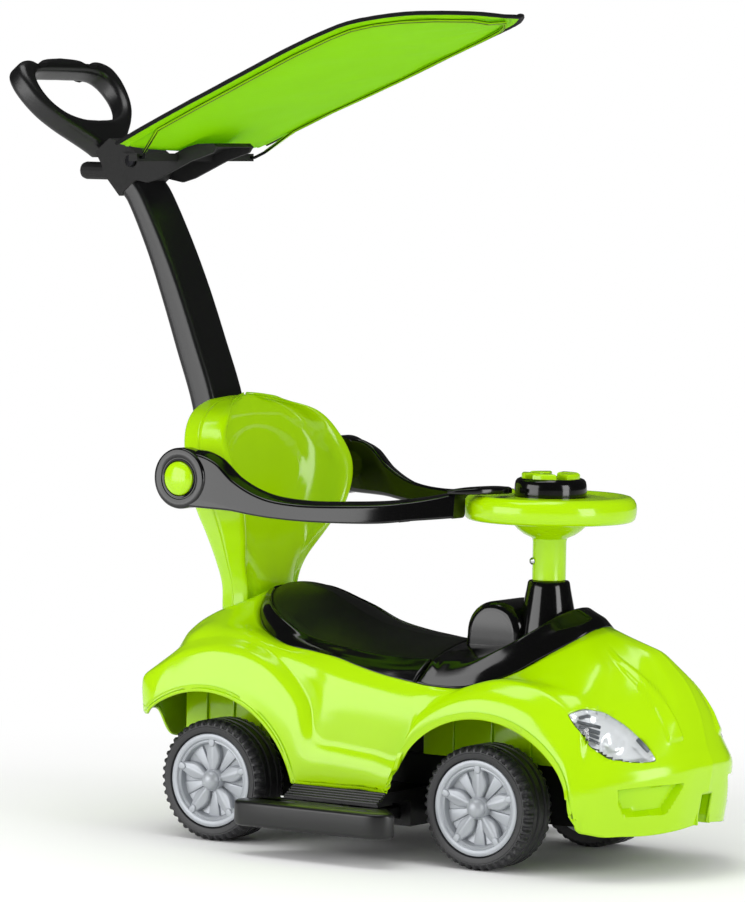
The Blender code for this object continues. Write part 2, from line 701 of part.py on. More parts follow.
def build_underbody():
    rear = REAR_X - PAN_REAR
    front = FRONT_X + PAN_FRONT
    pan = block("underbody", (rear, -PAN_HALF_WIDTH, PAN_FOOT_Z), (front, PAN_HALF_WIDTH, PAN_TOP_Z), SATIN_BLACK)
    inside_low = (rear + WALL, -PAN_HALF_WIDTH + WALL, PAN_FOOT_Z - 0.02)
    inside_high = (front - WALL, PAN_HALF_WIDTH - WALL, PAN_TOP_Z - WALL)
    tube_end = AXLE_TUBE_HALF_LENGTH
    join(pan, rod("axle_tube", (REAR_X, -tube_end, AXLE_Z), (REAR_X, tube_end, AXLE_Z), AXLE_TUBE_RADIUS))
    sill_low = (-SILL_HALF_LENGTH, -SKIRT_TOP_Y, SILL_LOW_Z)
    sill_high = (SILL_HALF_LENGTH, SKIRT_TOP_Y, SILL_TOP_Z)
    join(pan, block("sill_plate", sill_low, sill_high))
    channel_low = (-SILL_HALF_LENGTH, -CHANNEL_HALF_WIDTH, CHANNEL_FOOT_Z)
    channel_high = (SILL_HALF_LENGTH, CHANNEL_HALF_WIDTH, SILL_LOW_Z + 0.002)
    join(pan, block("step_channel", channel_low, channel_high))
    for side, word in ((-1, "right"), (1, "left")):
        join(pan, skirt(side, word))
    cut(pan, block("pan_inside", inside_low, inside_high))
    slot_low = (-TONGUE_HALF_LENGTH - GAP, -CHANNEL_HALF_WIDTH - 0.01, TONGUE_TOP_Z - TONGUE_THICKNESS - GAP)
    slot_high = (TONGUE_HALF_LENGTH + GAP, CHANNEL_HALF_WIDTH + 0.01, TONGUE_TOP_Z + GAP)
    cut(pan, block("step_slot", slot_low, slot_high))
    window_low = (FRONT_X - CRANK - 0.014, -PAN_HALF_WIDTH - 0.01, PAN_FOOT_Z - 0.01)
    window_high = (FRONT_X + 0.017, PAN_HALF_WIDTH + 0.01, PAN_TOP_Z - WALL)
    cut(pan, block("steering_window", window_low, window_high))
    axle_y = AXLE_TUBE_HALF_LENGTH + 0.01
    cut(pan, rod("rear_axle_bore", (REAR_X, -axle_y, AXLE_Z), (REAR_X, axle_y, AXLE_Z), AXLE_RADIUS + GAP))
    cut(pan, rod("rod_bore", (FRONT_X, 0, PAN_TOP_Z - 0.02), (FRONT_X, 0, PAN_TOP_Z + 0.02), ROD_RADIUS + GAP))
    return pan


def skirt(side, word):
    """The ribbed slope from under the sill down towards the footrest."""
    outline = (
        (side * (SKIRT_TOP_Y - 0.010), SILL_TOP_Z),
        (side * SKIRT_TOP_Y, SILL_TOP_Z),
        (side * SKIRT_FOOT_Y, STEP_TOP_Z + 0.003),
        (side * SKIRT_FOOT_Y, STEP_TOP_Z + GAP),
        (side * (SKIRT_TOP_Y - 0.010), STEP_TOP_Z + GAP),
    )
    # The outline's x runs along the car's Y and its y along Z, with the thickness along X.
    place = Matrix(((0, 0, 1, 0), (1, 0, 0, 0), (0, 1, 0, 0), (0, 0, 0, 1)))
    return outline_plate(f"skirt_{word}", outline, SILL_HALF_LENGTH, place)


def build_footrests():
    for side, word in ((-1, "right"), (1, "left")):
        corner = 0.010
        outline = (
            (-STEP_INNER_HALF_LENGTH, side * STEP_INNER_Y),
            (-STEP_OUTER_HALF_LENGTH, side * (STEP_OUTER_Y - corner * 2.5)),
            (-STEP_OUTER_HALF_LENGTH + 0.001, side * (STEP_OUTER_Y - corner)),
            (-STEP_OUTER_HALF_LENGTH + corner, side * STEP_OUTER_Y),
            (STEP_OUTER_HALF_LENGTH - corner, side * STEP_OUTER_Y),
            (STEP_OUTER_HALF_LENGTH - 0.001, side * (STEP_OUTER_Y - corner)),
            (STEP_OUTER_HALF_LENGTH, side * (STEP_OUTER_Y - corner * 2.5)),
            (STEP_INNER_HALF_LENGTH, side * STEP_INNER_Y),
        )
        middle_z = STEP_TOP_Z - STEP_HEIGHT / 2
        place = Matrix.Translation((0.0, 0.0, middle_z))
        step = outline_plate(f"footrest_{word}", outline, STEP_HEIGHT / 2, place, SATIN_BLACK, 0.003)
        inside_y = sorted((side * (STEP_INNER_Y + WALL * 2), side * (STEP_OUTER_Y - WALL)))
        cut(
            step,
            block(
                f"step_hollow_{word}",
                (-STEP_INNER_HALF_LENGTH + WALL, inside_y[0], STEP_TOP_Z - STEP_HEIGHT - 0.01),
                (STEP_INNER_HALF_LENGTH - WALL, inside_y[1], STEP_TOP_Z - WALL),
            ),
        )
        rebate_y = sorted((side * (STEP_INNER_Y - 0.010), side * (SKIRT_FOOT_Y + 0.003)))
        cut(
            step,
            block(
                f"step_rebate_{word}",
                (-STEP_OUTER_HALF_LENGTH, rebate_y[0], STEP_TOP_Z - STEP_REBATE),
                (STEP_OUTER_HALF_LENGTH, rebate_y[1], STEP_TOP_Z + 0.010),
            ),
        )
        tongue_y = sorted((side * TONGUE_INNER_Y, side * (STEP_INNER_Y + WALL)))
        join(
            step,
            block(
                f"step_tongue_{word}",
                (-TONGUE_HALF_LENGTH, tongue_y[0], TONGUE_TOP_Z - TONGUE_THICKNESS),
                (TONGUE_HALF_LENGTH, tongue_y[1], TONGUE_TOP_Z),
            ),
        )


def off_the_belt(points):
    """The same points, with the first a gap inwards of the shell's belt."""
    first = points[0] + (points[1] - points[0]).normalized() * GAP * 1.5
    return [first, *points[1:]]


def build_cowl():
    seam = off_the_belt(along(SEAM, FRONT_X))
    low_edge = [Vector((point.x + GAP, point.y, point.z - SEAM_GROOVE)) for point in seam[1:]]
    low_edge.insert(0, seam[0] + Vector((GAP, 0.0, 0.0)))
    top_edge = [Vector((point.x + SEAM_GROOVE, point.y, point.z)) for point in seam]
    columns = [low_edge, top_edge] + [off_the_belt(along(points, FRONT_X)) for points in COWL_COLUMNS]
    cowl = mirrored_sheet("dash_cowl", columns, GLOSS_BLACK)
    cut(cowl, bpy.data.objects["shell_clearance"])
    hump_low = (FRONT_X - 0.086, -0.040, 0.226)
    hump_high = (FRONT_X - 0.014, 0.040, 0.291)
    hump = block("pommel_hump", hump_low, hump_high, None, 0.020, 2)
    join(cowl, hump)
    hollow_low = (hump_low[0] + 0.006, -0.034, 0.200)
    hollow_high = (hump_high[0] - 0.006, 0.034, 0.284)
    collar = rod("collar", (FRONT_X, 0, COLLAR_FOOT_Z), (FRONT_X, 0, COLLAR_TOP_Z), COLLAR_FOOT_RADIUS,
                 None, COLLAR_TOP_RADIUS)
    cut(cowl, block("hump_hollow", hollow_low, hollow_high, None, 0.014, 2))
    join(cowl, collar)
    cut(cowl, rod("collar_bore", (FRONT_X, 0, 0.20), (FRONT_X, 0, 0.34), ROD_RADIUS + GAP))
    for side, word in ((-1, "right"), (1, "left")):
        slot_y = sorted((side * 0.0443, side * 0.0507))
        cut(
            cowl,
            block(
                f"lug_slot_{word}",
                (SEAM_X - 0.006, slot_y[0], SEAT_HINGE_Z - 0.010),
                (SEAM_X + SEAT_HINGE_AHEAD + 0.0062, slot_y[1], SEAT_HINGE_Z + 0.0058),
            ),
        )
        lug_y = sorted((side * 0.0515, side * 0.0565))
        join(
            cowl,
            block(
                f"cowl_lug_{word}",
                (SEAM_X + SEAT_HINGE_AHEAD - 0.006, lug_y[0], SEAT_HINGE_Z - 0.006),
                (SEAM_X + SEAT_HINGE_AHEAD + 0.012, lug_y[1], 0.2375),
            ),
        )
    hinge_x = SEAM_X + SEAT_HINGE_AHEAD
    cut(cowl, rod("cowl_lug_bore", (hinge_x, -0.07, SEAT_HINGE_Z), (hinge_x, 0.07, SEAT_HINGE_Z),
                  SEAT_PIN_RADIUS + GAP))
    return cowl


def seat_column(belt, bead, spine):
    """Six rows of the seat: its lower edge, gloss flank, bead, pad edge, pad and spine."""
    lower = belt + (bead - belt).normalized() * GAP * 1.5
    flank = mixed(belt, bead, 0.55) + Vector((0.0, 0.003 if belt.y > 0.04 else 0.0, 0.0))
    pad_edge = mixed(bead, spine, 0.14) - Vector((0.0, 0.0, 0.0015))
    pad = mixed(bead, spine, 0.55) + Vector((0.0, 0.0, 0.003))
    return [lower, flank, bead, pad_edge, pad, spine]


def build_seat():
    columns = [seat_column(*along(points, REAR_X)) for points in SEAT_REAR]
    columns += [seat_column(*along(points, 0.0)) for points in SEAT_FRONT]
    columns.append(off_the_belt(along(SEAM, FRONT_X)))
    seat = mirrored_sheet("seat_lid", columns, SATIN_BLACK)
    cut(seat, bpy.data.objects["shell_clearance"])
    hinge_x = SEAM_X + SEAT_HINGE_AHEAD
    for side, word in ((-1, "right"), (1, "left")):
        outline = (
            (hinge_x - 0.030, SEAT_HINGE_Z + 0.0065),
            (hinge_x - 0.030, SEAT_HINGE_Z - 0.001),
            (hinge_x - 0.014, SEAT_HINGE_Z - 0.0065),
            (hinge_x - 0.004, SEAT_HINGE_Z - 0.0065),
            (hinge_x + 0.003, SEAT_HINGE_Z - 0.0045),
            (hinge_x + 0.0048, SEAT_HINGE_Z),
            (hinge_x + 0.003, SEAT_HINGE_Z + 0.0040),
            (hinge_x - 0.002, SEAT_HINGE_Z + 0.0044),
            (hinge_x - 0.0048, SEAT_HINGE_Z + 0.0010),
            (hinge_x - 0.0062, SEAT_HINGE_Z - 0.0024),
            (hinge_x - 0.0115, SEAT_HINGE_Z - 0.0026),
            (hinge_x - 0.0128, SEAT_HINGE_Z + 0.0015),
            (hinge_x - 0.0140, SEAT_HINGE_Z + 0.0065),
        )
        place = Matrix.Translation((0, side * 0.0475, 0)) @ Matrix.Rotation(math.radians(90), 4, "X")
        join(seat, outline_plate(f"seat_lug_{word}", outline, 0.0028, place))
    cut(seat, rod("seat_lug_bore", (hinge_x, -0.07, SEAT_HINGE_Z), (hinge_x, 0.07, SEAT_HINGE_Z),
                  SEAT_PIN_RADIUS + GAP))
    set_origin(seat, (hinge_x, 0.0, SEAT_HINGE_Z))
    rod("seat_hinge_pin", (hinge_x, -SEAT_PIN_HALF_LENGTH, SEAT_HINGE_Z),
        (hinge_x, SEAT_PIN_HALF_LENGTH, SEAT_HINGE_Z), SEAT_PIN_RADIUS, STEEL, sides=12)
    tub_low = Vector((REAR_X + 0.030, -0.050, PAN_TOP_Z + GAP))
    tub_high = Vector((FRONT_X - 0.115, 0.050, 0.206))
    tub = block("storage_tub", tub_low, tub_high, SATIN_BLACK)
    cut(tub, block("tub_inside", tub_low + Vector((TUB_WALL, TUB_WALL, TUB_WALL)),
                   tub_high - Vector((TUB_WALL, TUB_WALL, -0.02))))
    return seat


def build_wheel(word, x, side):
    """Tyre, hub, cap and push nut of one wheel, turned about the axle that points outwards."""
    centre_y = side * TRACK / 2
    place = Matrix.Translation((x, centre_y, AXLE_Z)) @ facing(side)
    half = TYRE_WIDTH / 2
    groove = 0.0025
    tyre_profile = (
        (RIM_RADIUS + GAP, half - 0.003),
        (RIM_RADIUS + 0.004, half),
        (WHEEL_RADIUS - 0.004, half - 0.001),
        (WHEEL_RADIUS - 0.0005, half - 0.006),
        (WHEEL_RADIUS, 0.010),
        (WHEEL_RADIUS - groove, 0.008),
        (WHEEL_RADIUS - groove, 0.005),
        (WHEEL_RADIUS, 0.003),
        (WHEEL_RADIUS, -half + 0.008),
        (WHEEL_RADIUS - 0.005, -half + 0.0005),
        (RIM_RADIUS + GAP, -half + 0.003),
    )
    tyre = turned("tyre_" + word, tyre_profile, place, TYRE_BLACK, 24)
    web_top = half - HUB_WEB_INSET
    hub_profile = (
        (0.0, web_top),
        (RIM_RADIUS - 0.009, web_top),
        (RIM_RADIUS - 0.008, half - 0.002),
        (RIM_RADIUS - 0.001, half - 0.001),
        (RIM_RADIUS, half - 0.004),
        (RIM_RADIUS, -half + 0.002),
        (RIM_RADIUS - 0.003, -half + 0.002),
        (RIM_RADIUS - 0.003, web_top - HUB_WEB_THICKNESS),
        (HUB_BOSS_RADIUS, web_top - HUB_WEB_THICKNESS),
        (HUB_BOSS_RADIUS, -half - AXLE_INNER_REACH),
        (0.0, -half - AXLE_INNER_REACH),
    )
    hub = turned("hub_" + word, hub_profile, place, SILVER, 24)
    spoke_outline = ((0.008, -0.005), (0.024, -0.0105), (0.046, -0.004),
                     (0.046, 0.004), (0.024, 0.0105), (0.008, 0.005))
    for at in range(SPOKES):
        turn = Matrix.Rotation(math.radians(90) + at * math.tau / SPOKES, 4, "Z")
        rise = Matrix.Translation((0.0, 0.0, web_top + 0.003))
        join(hub, outline_plate(f"spoke_{word}_{at}", spoke_outline, 0.0045, place @ turn @ rise))
    boss_top = web_top + 0.0095
    join(hub, turned(f"hub_boss_{word}", ((0.0, boss_top), (HUB_BOSS_RADIUS, boss_top),
                                        (HUB_BOSS_RADIUS, web_top - 0.001), (0.0, web_top - 0.001)), place))
    nut_foot = web_top + 0.001
    pocket_radius = PUSH_NUT_RADIUS + GAP
    cut(hub, turned(f"nut_pocket_{word}", ((0.0, boss_top + 0.01), (pocket_radius, boss_top + 0.01),
                                          (pocket_radius, nut_foot), (0.0, nut_foot)), place))
    bore = AXLE_RADIUS + GAP
    cut(hub, turned(f"hub_bore_{word}", ((0.0, boss_top), (bore, boss_top), (bore, -half - 0.02),
                                        (0.0, -half - 0.02)), place))
    nut_low = nut_foot + GAP
    turned("push_nut_" + word, ((AXLE_RADIUS + GAP, nut_low + PUSH_NUT_LENGTH),
                               (PUSH_NUT_RADIUS, nut_low + PUSH_NUT_LENGTH - 0.001),
                               (PUSH_NUT_RADIUS, nut_low), (AXLE_RADIUS + GAP, nut_low)), place, STEEL, 16)
    cap_low = boss_top + GAP
    cap_profile = (
        (0.0, cap_low + CAP_HEIGHT),
        (CAP_RADIUS * 0.5, cap_low + CAP_HEIGHT * 0.87),
        (CAP_RADIUS * 0.87, cap_low + CAP_HEIGHT * 0.5),
        (CAP_RADIUS, cap_low),
        (PUSH_NUT_RADIUS, cap_low),
        (PUSH_NUT_RADIUS, cap_low - 0.0025),
        (PUSH_NUT_RADIUS - 0.0012, cap_low - 0.0025),
        (PUSH_NUT_RADIUS - 0.0012, cap_low + 0.002),
        (0.0, cap_low + 0.002),
    )
    turned("hub_cap_" + word, cap_profile, place, SILVER, 12)
    return tyre


def axle_end_y():
    """How far an axle reaches from the symmetry plane: to the outer face of its push nut."""
    web_top = TRACK / 2 + TYRE_WIDTH / 2 - HUB_WEB_INSET
    return web_top + AXLE_END_BEYOND_WEB


def build_wheels():
    for word, x, side in (
        ("front_left", FRONT_X, 1), ("front_right", FRONT_X, -1),
        ("rear_left", REAR_X, 1), ("rear_right", REAR_X, -1),
    ):
        build_wheel(word, x, side)
    end_y = axle_end_y()
    rod("rear_axle", (REAR_X, -end_y, AXLE_Z), (REAR_X, end_y, AXLE_Z), AXLE_RADIUS, STEEL, sides=16)


def build_steering():
    arm_low = TIE_ROD_Z + TIE_ROD_THICKNESS + GAP
    arm_high = arm_low + 0.007
    knuckle_top = BEAM_LOW_Z - GAP
    inner_y = KINGPIN_Y - 0.008
    outer_y = TRACK / 2 - TYRE_WIDTH / 2 - AXLE_INNER_REACH - 0.0015
    for side, word in ((-1, "right"), (1, "left")):
        kingpin = Vector((FRONT_X, side * KINGPIN_Y, 0.0))
        body_y = sorted((side * inner_y, side * (KINGPIN_Y + 0.008)))
        knuckle = block(f"knuckle_{word}", (FRONT_X - 0.009, body_y[0], arm_low),
                        (FRONT_X + 0.009, body_y[1], knuckle_top), SATIN_BLACK)
        join(knuckle, rod(f"kingpin_{word}", kingpin + Vector((0, 0, knuckle_top - 0.004)),
                          kingpin + Vector((0, 0, PAN_TOP_Z - WALL - GAP)), KINGPIN_RADIUS, sides=16))
        join(knuckle, rod(f"stub_axle_{word}", (FRONT_X, side * KINGPIN_Y, AXLE_Z),
                          (FRONT_X, side * axle_end_y(), AXLE_Z), AXLE_RADIUS, sides=16))
        join(knuckle, rod(f"stub_shoulder_{word}", (FRONT_X, side * KINGPIN_Y, AXLE_Z),
                          (FRONT_X, side * outer_y, AXLE_Z), HUB_BOSS_RADIUS - 0.002, sides=16))
        arm_y = sorted((side * (KINGPIN_Y - 0.005), side * (KINGPIN_Y + 0.005)))
        join(knuckle, block(f"steering_arm_{word}", (FRONT_X - CRANK - 0.005, arm_y[0], arm_low),
                            (FRONT_X - 0.004, arm_y[1], arm_high)))
        pin = Vector((FRONT_X - CRANK, side * KINGPIN_Y, 0.0))
        join(knuckle, rod(f"arm_pin_{word}", pin + Vector((0, 0, TIE_ROD_Z - 0.002)),
                          pin + Vector((0, 0, arm_low + 0.003)), PIN_RADIUS, sides=16))
    tie_y = KINGPIN_Y + 0.009
    tie = block("tie_rod", (FRONT_X - CRANK - 0.0105, -tie_y, TIE_ROD_Z),
                (FRONT_X - CRANK + 0.0135, tie_y, TIE_ROD_Z + TIE_ROD_THICKNESS), STEEL)
    slot_half = PIN_RADIUS + SLOT_SIDE_CLEARANCE
    for word, y in (("right", -KINGPIN_Y), ("middle", 0.0), ("left", KINGPIN_Y)):
        middle_x = FRONT_X - CRANK + CRANK * (1 - math.cos(STEERING_LIMIT)) / 2
        cut(tie, block(f"tie_slot_{word}", (middle_x - SLOT_HALF_LENGTH, y - slot_half, TIE_ROD_Z - 0.01),
                       (middle_x + SLOT_HALF_LENGTH, y + slot_half, TIE_ROD_Z + 0.02)))
    beam = block("front_beam", (FRONT_X - BEAM_HALF_DEPTH, -BEAM_HALF_LENGTH, BEAM_LOW_Z),
                 (FRONT_X + BEAM_HALF_DEPTH, BEAM_HALF_LENGTH, PAN_TOP_Z - WALL - GAP), SATIN_BLACK)
    for word, y, radius in (("right", -KINGPIN_Y, KINGPIN_RADIUS), ("middle", 0.0, ROD_RADIUS),
                            ("left", KINGPIN_Y, KINGPIN_RADIUS)):
        cut(beam, rod(f"beam_bore_{word}", (FRONT_X, y, 0.08), (FRONT_X, y, 0.13), radius + GAP))
    crank_z = arm_low + 0.004
    steering = rod("steering_rod", (FRONT_X, 0, crank_z - ROD_RADIUS), (FRONT_X, 0, STEERING_RIM_LOW_Z - 0.005),
                   ROD_RADIUS, STEEL, sides=16)
    join(steering, rod("crank_web", (FRONT_X, 0, crank_z), (FRONT_X - CRANK, 0, crank_z), ROD_RADIUS - 0.0002,
                       sides=16))
    join(steering, rod("crank_pin", (FRONT_X - CRANK, 0, crank_z + 0.0038),
                       (FRONT_X - CRANK, 0, TIE_ROD_Z - 0.002), PIN_RADIUS, sides=16))
    set_origin(steering, (FRONT_X, 0.0, AXLE_Z))


def ring_sector(inner, outer, middle, half_angle, steps=4):
    """A curved outline between two radii, for a button or a tongue."""
    points = []
    for at in range(steps + 1):
        angle = middle - half_angle + 2 * half_angle * at / steps
        points.append((outer * math.cos(angle), outer * math.sin(angle)))
    for at in range(steps + 1):
        angle = middle + half_angle - 2 * half_angle * at / steps
        points.append((inner * math.cos(angle), inner * math.sin(angle)))
    return points


def build_steering_wheel():
    centre = Matrix.Translation((FRONT_X, 0.0, 0.0))
    rim = STEERING_RADIUS
    low = STEERING_RIM_LOW_Z
    top = STEERING_RIM_TOP_Z
    rod_top = low - 0.005 + GAP
    profile = (
        (PAD_RADIUS + GAP, top - 0.004),
        (PAD_RADIUS + 0.012, top - 0.001),
        (rim - 0.020, top - 0.003),
        (rim - 0.010, top),
        (rim - 0.003, top - 0.004),
        (rim, top - 0.011),
        (rim - 0.001, low + 0.004),
        (rim - 0.006, low),
        (rim - 0.012, low),
        (rim - 0.014, top - 0.010),
        (0.046, top - 0.014),
        (0.044, low),
        (0.036, low - 0.011),
        (SLEEVE_RADIUS + 0.001, low - 0.020),
        (SLEEVE_RADIUS, low - 0.024),
        (SLEEVE_RADIUS, COLLAR_TOP_Z + GAP),
        (ROD_RADIUS + GAP, COLLAR_TOP_Z + GAP),
        (ROD_RADIUS + GAP, rod_top),
        (0.0155, rod_top),
        (PAD_RADIUS + GAP, low + 0.006),
    )
    wheel = turned("steering_wheel", profile, centre, LIME, 28)
    screw_z = 0.337
    turned("column_screw", ((0.0, 0.0042), (0.0025, 0.0036), (0.0042, 0.0016), (0.0042, 0.0), (0.0019, 0.0),
                                    (0.0019, -0.0100), (0.0, -0.0100)),
                   Matrix.Translation((FRONT_X, 0, screw_z))
                   @ Matrix.Rotation(math.radians(-128), 4, "Z")
                   @ Matrix.Translation((SLEEVE_RADIUS + GAP, 0, 0))
                   @ Matrix.Rotation(math.radians(90), 4, "Y"), STEEL, 12)
    screw_from = Matrix.Rotation(math.radians(-128), 4, "Z") @ Vector((0.006, 0, 0))
    screw_to = Matrix.Rotation(math.radians(-128), 4, "Z") @ Vector((SLEEVE_RADIUS + 0.01, 0, 0))
    middle = Vector((FRONT_X, 0, screw_z))
    cut(wheel, rod("screw_bore", middle + screw_from, middle + screw_to, 0.0019 + GAP, sides=12))
    pad_low = low + 0.006 + GAP
    pad = turned("horn_pad", (
        (0.0, PAD_TOP_Z),
        (PAD_RADIUS - 0.008, PAD_TOP_Z),
        (PAD_RADIUS - 0.002, PAD_TOP_Z - 0.003),
        (PAD_RADIUS, PAD_TOP_Z - 0.008),
        (PAD_RADIUS, pad_low + 0.001),
        (PAD_RADIUS - 0.003, pad_low + 0.001),
        (PAD_RADIUS - 0.003, PAD_TOP_Z - 0.007),
        (0.0, PAD_TOP_Z - 0.007),
    ), centre, GLOSS_BLACK, 20)
    for at in range(HORN_BUTTONS):
        angle = math.tau * at / HORN_BUTTONS
        outline = ring_sector(0.013, 0.033, angle, math.radians(24))
        place = centre @ Matrix.Translation((0, 0, PAD_TOP_Z - 0.0005))
        outline_plate(f"horn_button_{at + 1}", outline, 0.0065, place, LIME, 0.0018)
        hole = ring_sector(0.013 - GAP * 1.5, 0.033 + GAP, angle, math.radians(25.2))
        cut(pad, outline_plate(f"button_hole_{at + 1}", hole, 0.02, place))
    half_x, half_y = SOUND_BOX_HALF
    floor_rise = (low + 0.006 - rod_top) / (PAD_RADIUS + GAP - 0.0155)
    seat_z = rod_top + (math.hypot(half_x, half_y) - 0.0155) * floor_rise + GAP
    box_low = (FRONT_X - half_x, -half_y, seat_z)
    box_high = (FRONT_X + half_x, half_y, PAD_TOP_Z - 0.007 - HORN_TRAVEL - GAP * 2)
    block("sound_box", box_low, box_high, SATIN_BLACK)


def backrest_rows():
    """The backrest's sections as metres: height, half width, rear edge, front edge and front centre."""
    return [[row[0] * MM, row[1] * MM] + [REAR_X + value * MM for value in row[2:]] for row in BACKREST]


def deck_z(x):
    """The height of the rear deck under the backrest's foot."""
    return 0.2565 + (x - (REAR_X - 0.055)) * DECK_SLOPE


def pole_stations():
    """The push pole's sections: height, middle, depth and lean, in metres and radians."""
    stations = []
    for order, (z, x, depth) in enumerate(POLE):
        before = POLE[max(order - 1, 0)]
        after = POLE[min(order + 1, len(POLE) - 1)]
        lean = math.atan2(before[1] - after[1], after[0] - before[0])
        stations.append((z * MM, REAR_X + x * MM, depth * MM, lean))
    return stations


def pole_rear(height):
    """The x of the push pole's rear face at a height, found between its stations."""
    stations = [(z - depth / 2 * math.sin(lean), x - depth / 2 * math.cos(lean))
                for z, x, depth, lean in pole_stations()]
    if height <= stations[0][0]:
        return stations[0][1]
    for (low, here), (high, ahead) in zip(stations, stations[1:]):
        if height <= high:
            return here + (ahead - here) * (height - low) / (high - low)
    return stations[-1][1]


def build_backrest():
    rows = backrest_rows()
    half, rear, front, centre = BACKREST_FOOT
    foot = [0.0, half * MM] + [REAR_X + value * MM for value in (rear, front, centre)]
    front_columns = []
    rear_columns = []
    for order, (z, w, rear_edge, front_edge, front_centre) in enumerate([foot] + rows):
        parting = (rear_edge + front_edge) / 2
        recess = 0.0 if order < 3 else 0.004
        section = (
            (front_centre, 0.0),
            (front_centre + 0.001, 0.40 * w),
            (front_centre + 0.30 * (front_edge - front_centre) - recess, 0.68 * w),
            (front_edge - 0.006, 0.80 * w),
            (front_edge, 0.91 * w),
            (front_edge - 0.008, 0.985 * w),
            (parting, w),
        )
        behind = pole_rear(z) - GAP * 2 - WALL
        slim = order < 3
        middle_x = rear_edge - 0.004 * order if slim else behind
        housing = min(POLE_HALF_WIDTH + GAP * 2 + WALL, 0.72 * w)
        rear_section = (
            (parting - GAP * 3, w),
            (rear_edge + 0.006, 0.97 * w),
            (rear_edge, 0.90 * w),
            (rear_edge - 0.002, max(housing + 0.010, 0.80 * w)),
            (middle_x + 0.004, housing),
            (middle_x, housing * 0.88),
            (middle_x, 0.0),
        )
        lifted = 0.0008
        front_columns.append([Vector((x, y, (z or deck_z(x) + lifted))) for x, y in section])
        rear_columns.append([Vector((x, y, (z or deck_z(x) + lifted + 0.001))) for x, y in rear_section])
    last = front_columns[-1]
    crest = [Vector((point.x - 0.012, point.y * 0.86, point.z + 0.006)) for point in last]
    front_columns.append(crest)
    shells = [mirrored_sheet("backrest_front", front_columns, LIME)]
    shells.append(mirrored_sheet("backrest_rear", rear_columns, LIME))
    pivot_x = REAR_X + GUARD_PIVOT_X
    inner_y = max(row[1] for row in BACKREST) * MM - 0.020
    for shell in shells:
        bore = GUARD_PIN_RADIUS + GAP
        for side, word in ((-1, "right"), (1, "left")):
            cut(shell, rod(f"pin_bore_{word}_{shell.name}", (pivot_x, side * inner_y, GUARD_PIVOT_Z),
                           (pivot_x, side * 0.2, GUARD_PIVOT_Z), bore, sides=20))


def pole_section(station):
    z, x, depth, lean = station
    half = depth / 2
    corner = 0.007
    loop = (
        (-half, -POLE_HALF_WIDTH + corner), (-half + corner, -POLE_HALF_WIDTH),
        (half - corner, -POLE_HALF_WIDTH), (half, -POLE_HALF_WIDTH + corner),
        (half, POLE_HALF_WIDTH - corner), (half - corner, POLE_HALF_WIDTH),
        (-half + corner, POLE_HALF_WIDTH), (-half, POLE_HALF_WIDTH - corner),
    )
    return [Vector((x + along_x * math.cos(lean), y, z + along_x * math.sin(lean))) for along_x, y in loop]


def build_pole():
    stations = pole_stations()
    pole = swept("push_pole", stations, pole_section, SATIN_BLACK, caps=False)
    wall = pole.modifiers.new("wall", "SOLIDIFY")
    wall.thickness = WALL
    wall.offset = -1.0
    smooth(pole, 30)
    return stations[-1]


def build_clamp(pole_end):
    top_z, top_x, depth, lean = pole_end
    upwards = Vector((-math.sin(lean), 0.0, math.cos(lean)))
    forwards = Vector((math.cos(lean), 0.0, math.sin(lean)))
    place = Matrix.Identity(4)
    # The outline's x runs forwards and its y up the pole, with the thickness along the car's Y.
    for row in range(3):
        place[row][0] = forwards[row]
        place[row][1] = upwards[row]
        place[row][2] = forwards.cross(upwards)[row]
        place[row][3] = Vector((top_x, 0.0, top_z))[row]
    outline = (
        (-0.016, 0.0004), (0.016, 0.0004), (0.028, 0.006), (0.036, 0.022), (0.030, 0.040),
        (0.014, HANDLE_FOOT - GAP), (-0.012, HANDLE_FOOT - GAP), (-0.014, 0.046), (-0.018, 0.030),
    )
    clamp = outline_plate("canopy_clamp", outline, POLE_HALF_WIDTH, place, SATIN_BLACK)
    spigot = ((-depth / 2 + WALL + GAP, -0.014), (depth / 2 - WALL - GAP, -0.014),
              (depth / 2 - WALL - GAP, 0.004), (-depth / 2 + WALL + GAP, 0.004))
    join(clamp, outline_plate("clamp_spigot", spigot, SPIGOT_HALF_WIDTH, place))
    return place


def build_handle(place):
    outer = [(half_y, up) for half_y, up in HANDLE_PROFILE]
    outer += [(-half_y, up) for half_y, up in reversed(HANDLE_PROFILE[:-1])]
    hole = [(half_y, up) for half_y, up in HANDLE_OPENING]
    hole += [(-half_y, up) for half_y, up in reversed(HANDLE_OPENING[1:-1])]
    # The outline's x runs along the car's Y and its y up the pole's lean.
    upwards = Vector(place.col[1][:3])
    forwards = Vector(place.col[0][:3])
    stand = Matrix.Identity(4)
    for row in range(3):
        stand[row][0] = (0.0, 1.0, 0.0)[row]
        stand[row][1] = upwards[row]
        stand[row][2] = forwards[row] * -1
        stand[row][3] = place.col[3][row] - forwards[row] * HANDLE_SET_BACK
    outline_plate("handle_loop", outer, HANDLE_HALF_DEPTH, stand, SATIN_BLACK, 0.007, (hole,))


def flat_normal(start, end):
    """The outward direction, level with the ground, of an edge that runs forwards on the left side."""
    direction = end - start
    return Vector((-direction.y, direction.x, 0.0)).normalized()


def canopy_rim(outwards=0.0):
    """Half of the canopy's edge from the rear to the nose, moved outwards or inwards."""
    edge = along(CANOPY_EDGE, REAR_X)
    beyond = Vector((edge[-1].x, -edge[-1].y, edge[-1].z))
    moved = []
    for order, (point, after) in enumerate(zip(edge, edge[1:] + [beyond])):
        second = flat_normal(point, after)
        first = flat_normal(edge[order - 1], point) if order else second
        mitre = (first + second).normalized()
        moved.append(point + mitre * (outwards / mitre.dot(first)))
    return moved


